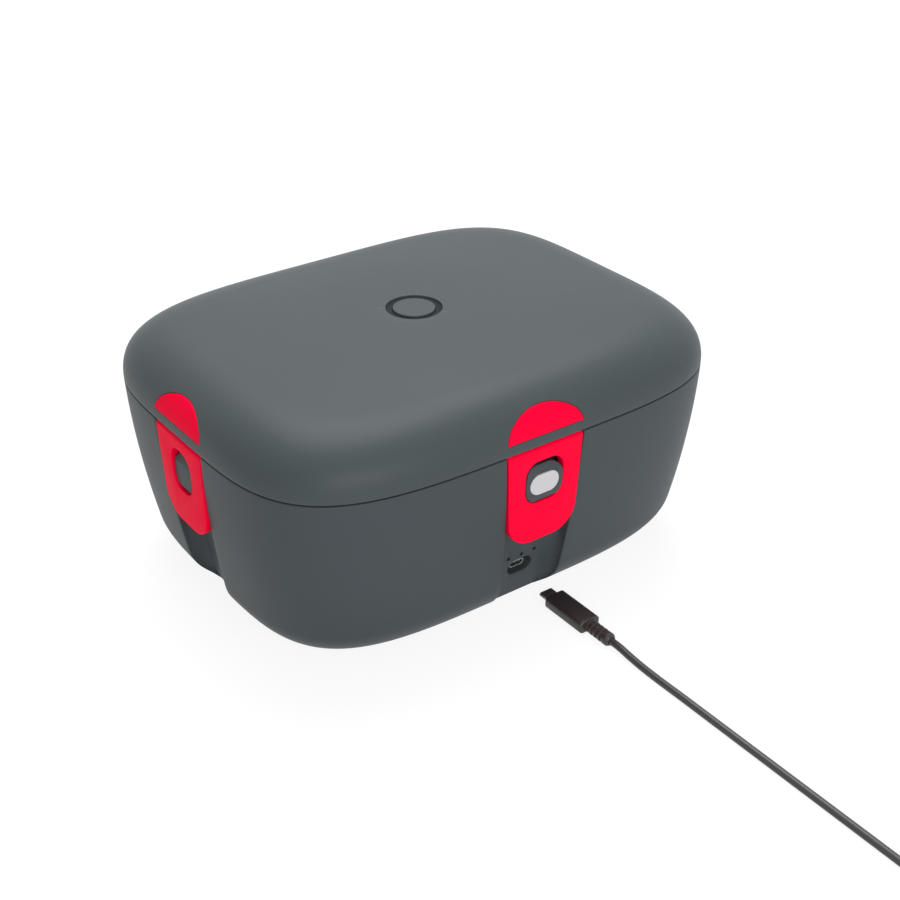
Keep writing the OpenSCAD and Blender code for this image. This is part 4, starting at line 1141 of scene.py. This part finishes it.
def build_lid():
    fit(make_lid_shell(), "lid", "lid", "lid_shell")
    fit(make_lugs(), "lid", "lid")
    fit(make_liner(), "lid", "liner", "lid_liner")
    fit(make_gasket(), "lid", "black_rubber", "lid_gasket")
    screws = make_screws("lining_screws", in_corners(*LID_SCREW_AT), PART_Z, 2.5, 1.25, 8.8)
    fit(screws, "lid", "screw_steel", "lid_screws")
    fit(make_light_ring(), "lid", "ring", "light_ring")
    fit(make_button(), "button", "button", "button_cap")
    spring = fit(make_spring(), "lid", "screw_steel", "button_spring")
    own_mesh(spring)
    front_strap, side_strap, pin = make_strap(23, TIP_Z), make_strap(19.5, TIP_Z + 2.5), make_pin()
    for k, side in enumerate(SIDES):
        strap = side_strap if k else front_strap
        fit(make_cover(k), "lid", "red_soft", f"moon_cover_{side}")
        fit(copy_to(strap, k, f"latch_strap_{side}"), f"strap_{side}", "red_soft", f"strap_{side}")
        fit(copy_to(pin, k, f"latch_pin_{side}"), "lid", "screw_steel", f"strap_pin_{side}")
    for piece in (front_strap, side_strap, pin):
        bpy.data.objects.remove(piece, do_unlink=True)


def build_lead():
    mouth, grip = make_near_plug()
    relief, (far_grip, far_mouth), tie = make_relief(), make_far_plug(), make_tie()
    fit(mouth, "base", "plug_metal", "plug_shell")
    fit(grip, "base", "cord", "plug_grip", finish="plug_body")
    fit(relief, "base", "cord", finish="plug_body")
    fit(far_grip, "base", "cord", "far_plug_grip", finish="plug_body")
    fit(far_mouth, "base", "steel", "far_plug_shell")
    fit(tie, "base", "red_soft", "lead_tie")
    fit(lead, "base", "cord", "charging_lead", "charging_lead_coil")


def finish_packed_parts():
    """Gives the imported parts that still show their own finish."""
    slots = {row["node"]: row["material_slot"] for row in frame["record"]["subparts"]}
    for name, node in frame["nodes"].items():
        node.data.materials.clear()
        node.data.materials.append(FINISHES[slots[name]])


build_base()
build_lid()
build_lead()
finish_packed_parts()


# ---- Studio ----

def seen_by_eye(tree):
    """1 for rays from the camera, a mirror or glass, and 0 for soft light."""
    path = put(tree, "ShaderNodeLightPath").outputs
    seen = reckon(tree, "MAXIMUM", path["Is Camera Ray"], path["Is Glossy Ray"])
    return reckon(tree, "MAXIMUM", seen, path["Is Transmission Ray"])


def make_floor():
    bpy.ops.mesh.primitive_plane_add(size=8, location=(0, 0, 0))
    floor = name_last("studio_floor")
    paper, tree = new_finish("pale_paper")
    body = feed(tree, tree.nodes["Principled BSDF"], Base_Color=(0.86, 0.86, 0.86, 1), Roughness=0.9)
    glow = put(tree, "ShaderNodeEmission", Color=(1, 1, 1, 1), Strength=1.1)
    kept = put(tree, "ShaderNodeMixShader", Fac=times(tree, seen_by_eye(tree), 0.8), _1=body.outputs[0],
               _2=glow.outputs[0])
    feed(tree, tree.nodes["Material Output"], Surface=kept.outputs[0])
    floor.data.materials.append(paper)


def make_soft_box(name, at, aim, size, power):
    lamp = bpy.data.lights.new(name, "AREA")
    lamp.shape = "RECTANGLE"
    lamp.size, lamp.size_y = size
    lamp.energy = power
    holder = add_object(name, lamp)
    holder.location = at
    holder.rotation_euler = (Vector(aim) - Vector(at)).to_track_quat("-Z", "Y").to_euler()


def make_daylight():
    world = bpy.data.worlds.new("studio_air")
    bpy.context.scene.world = world
    world.use_nodes = True
    tree = world.node_tree
    strength = ramp_of(tree, seen_by_eye(tree), 0.0, 1.0, 0.34)
    feed(tree, tree.nodes["Background"], Strength=strength, Color=(1, 1, 1, 1))


make_floor()
make_daylight()
make_soft_box("overhead", (0.3, 0.45, 1.4), (0, 0, 0.05), (1.1, 1.1), 21)
make_soft_box("front_fill", (-0.4, -1.5, 0.6), (0, 0, 0.06), (1.2, 0.8), 13)

bpy.context.scene.view_settings.view_transform = "Standard"
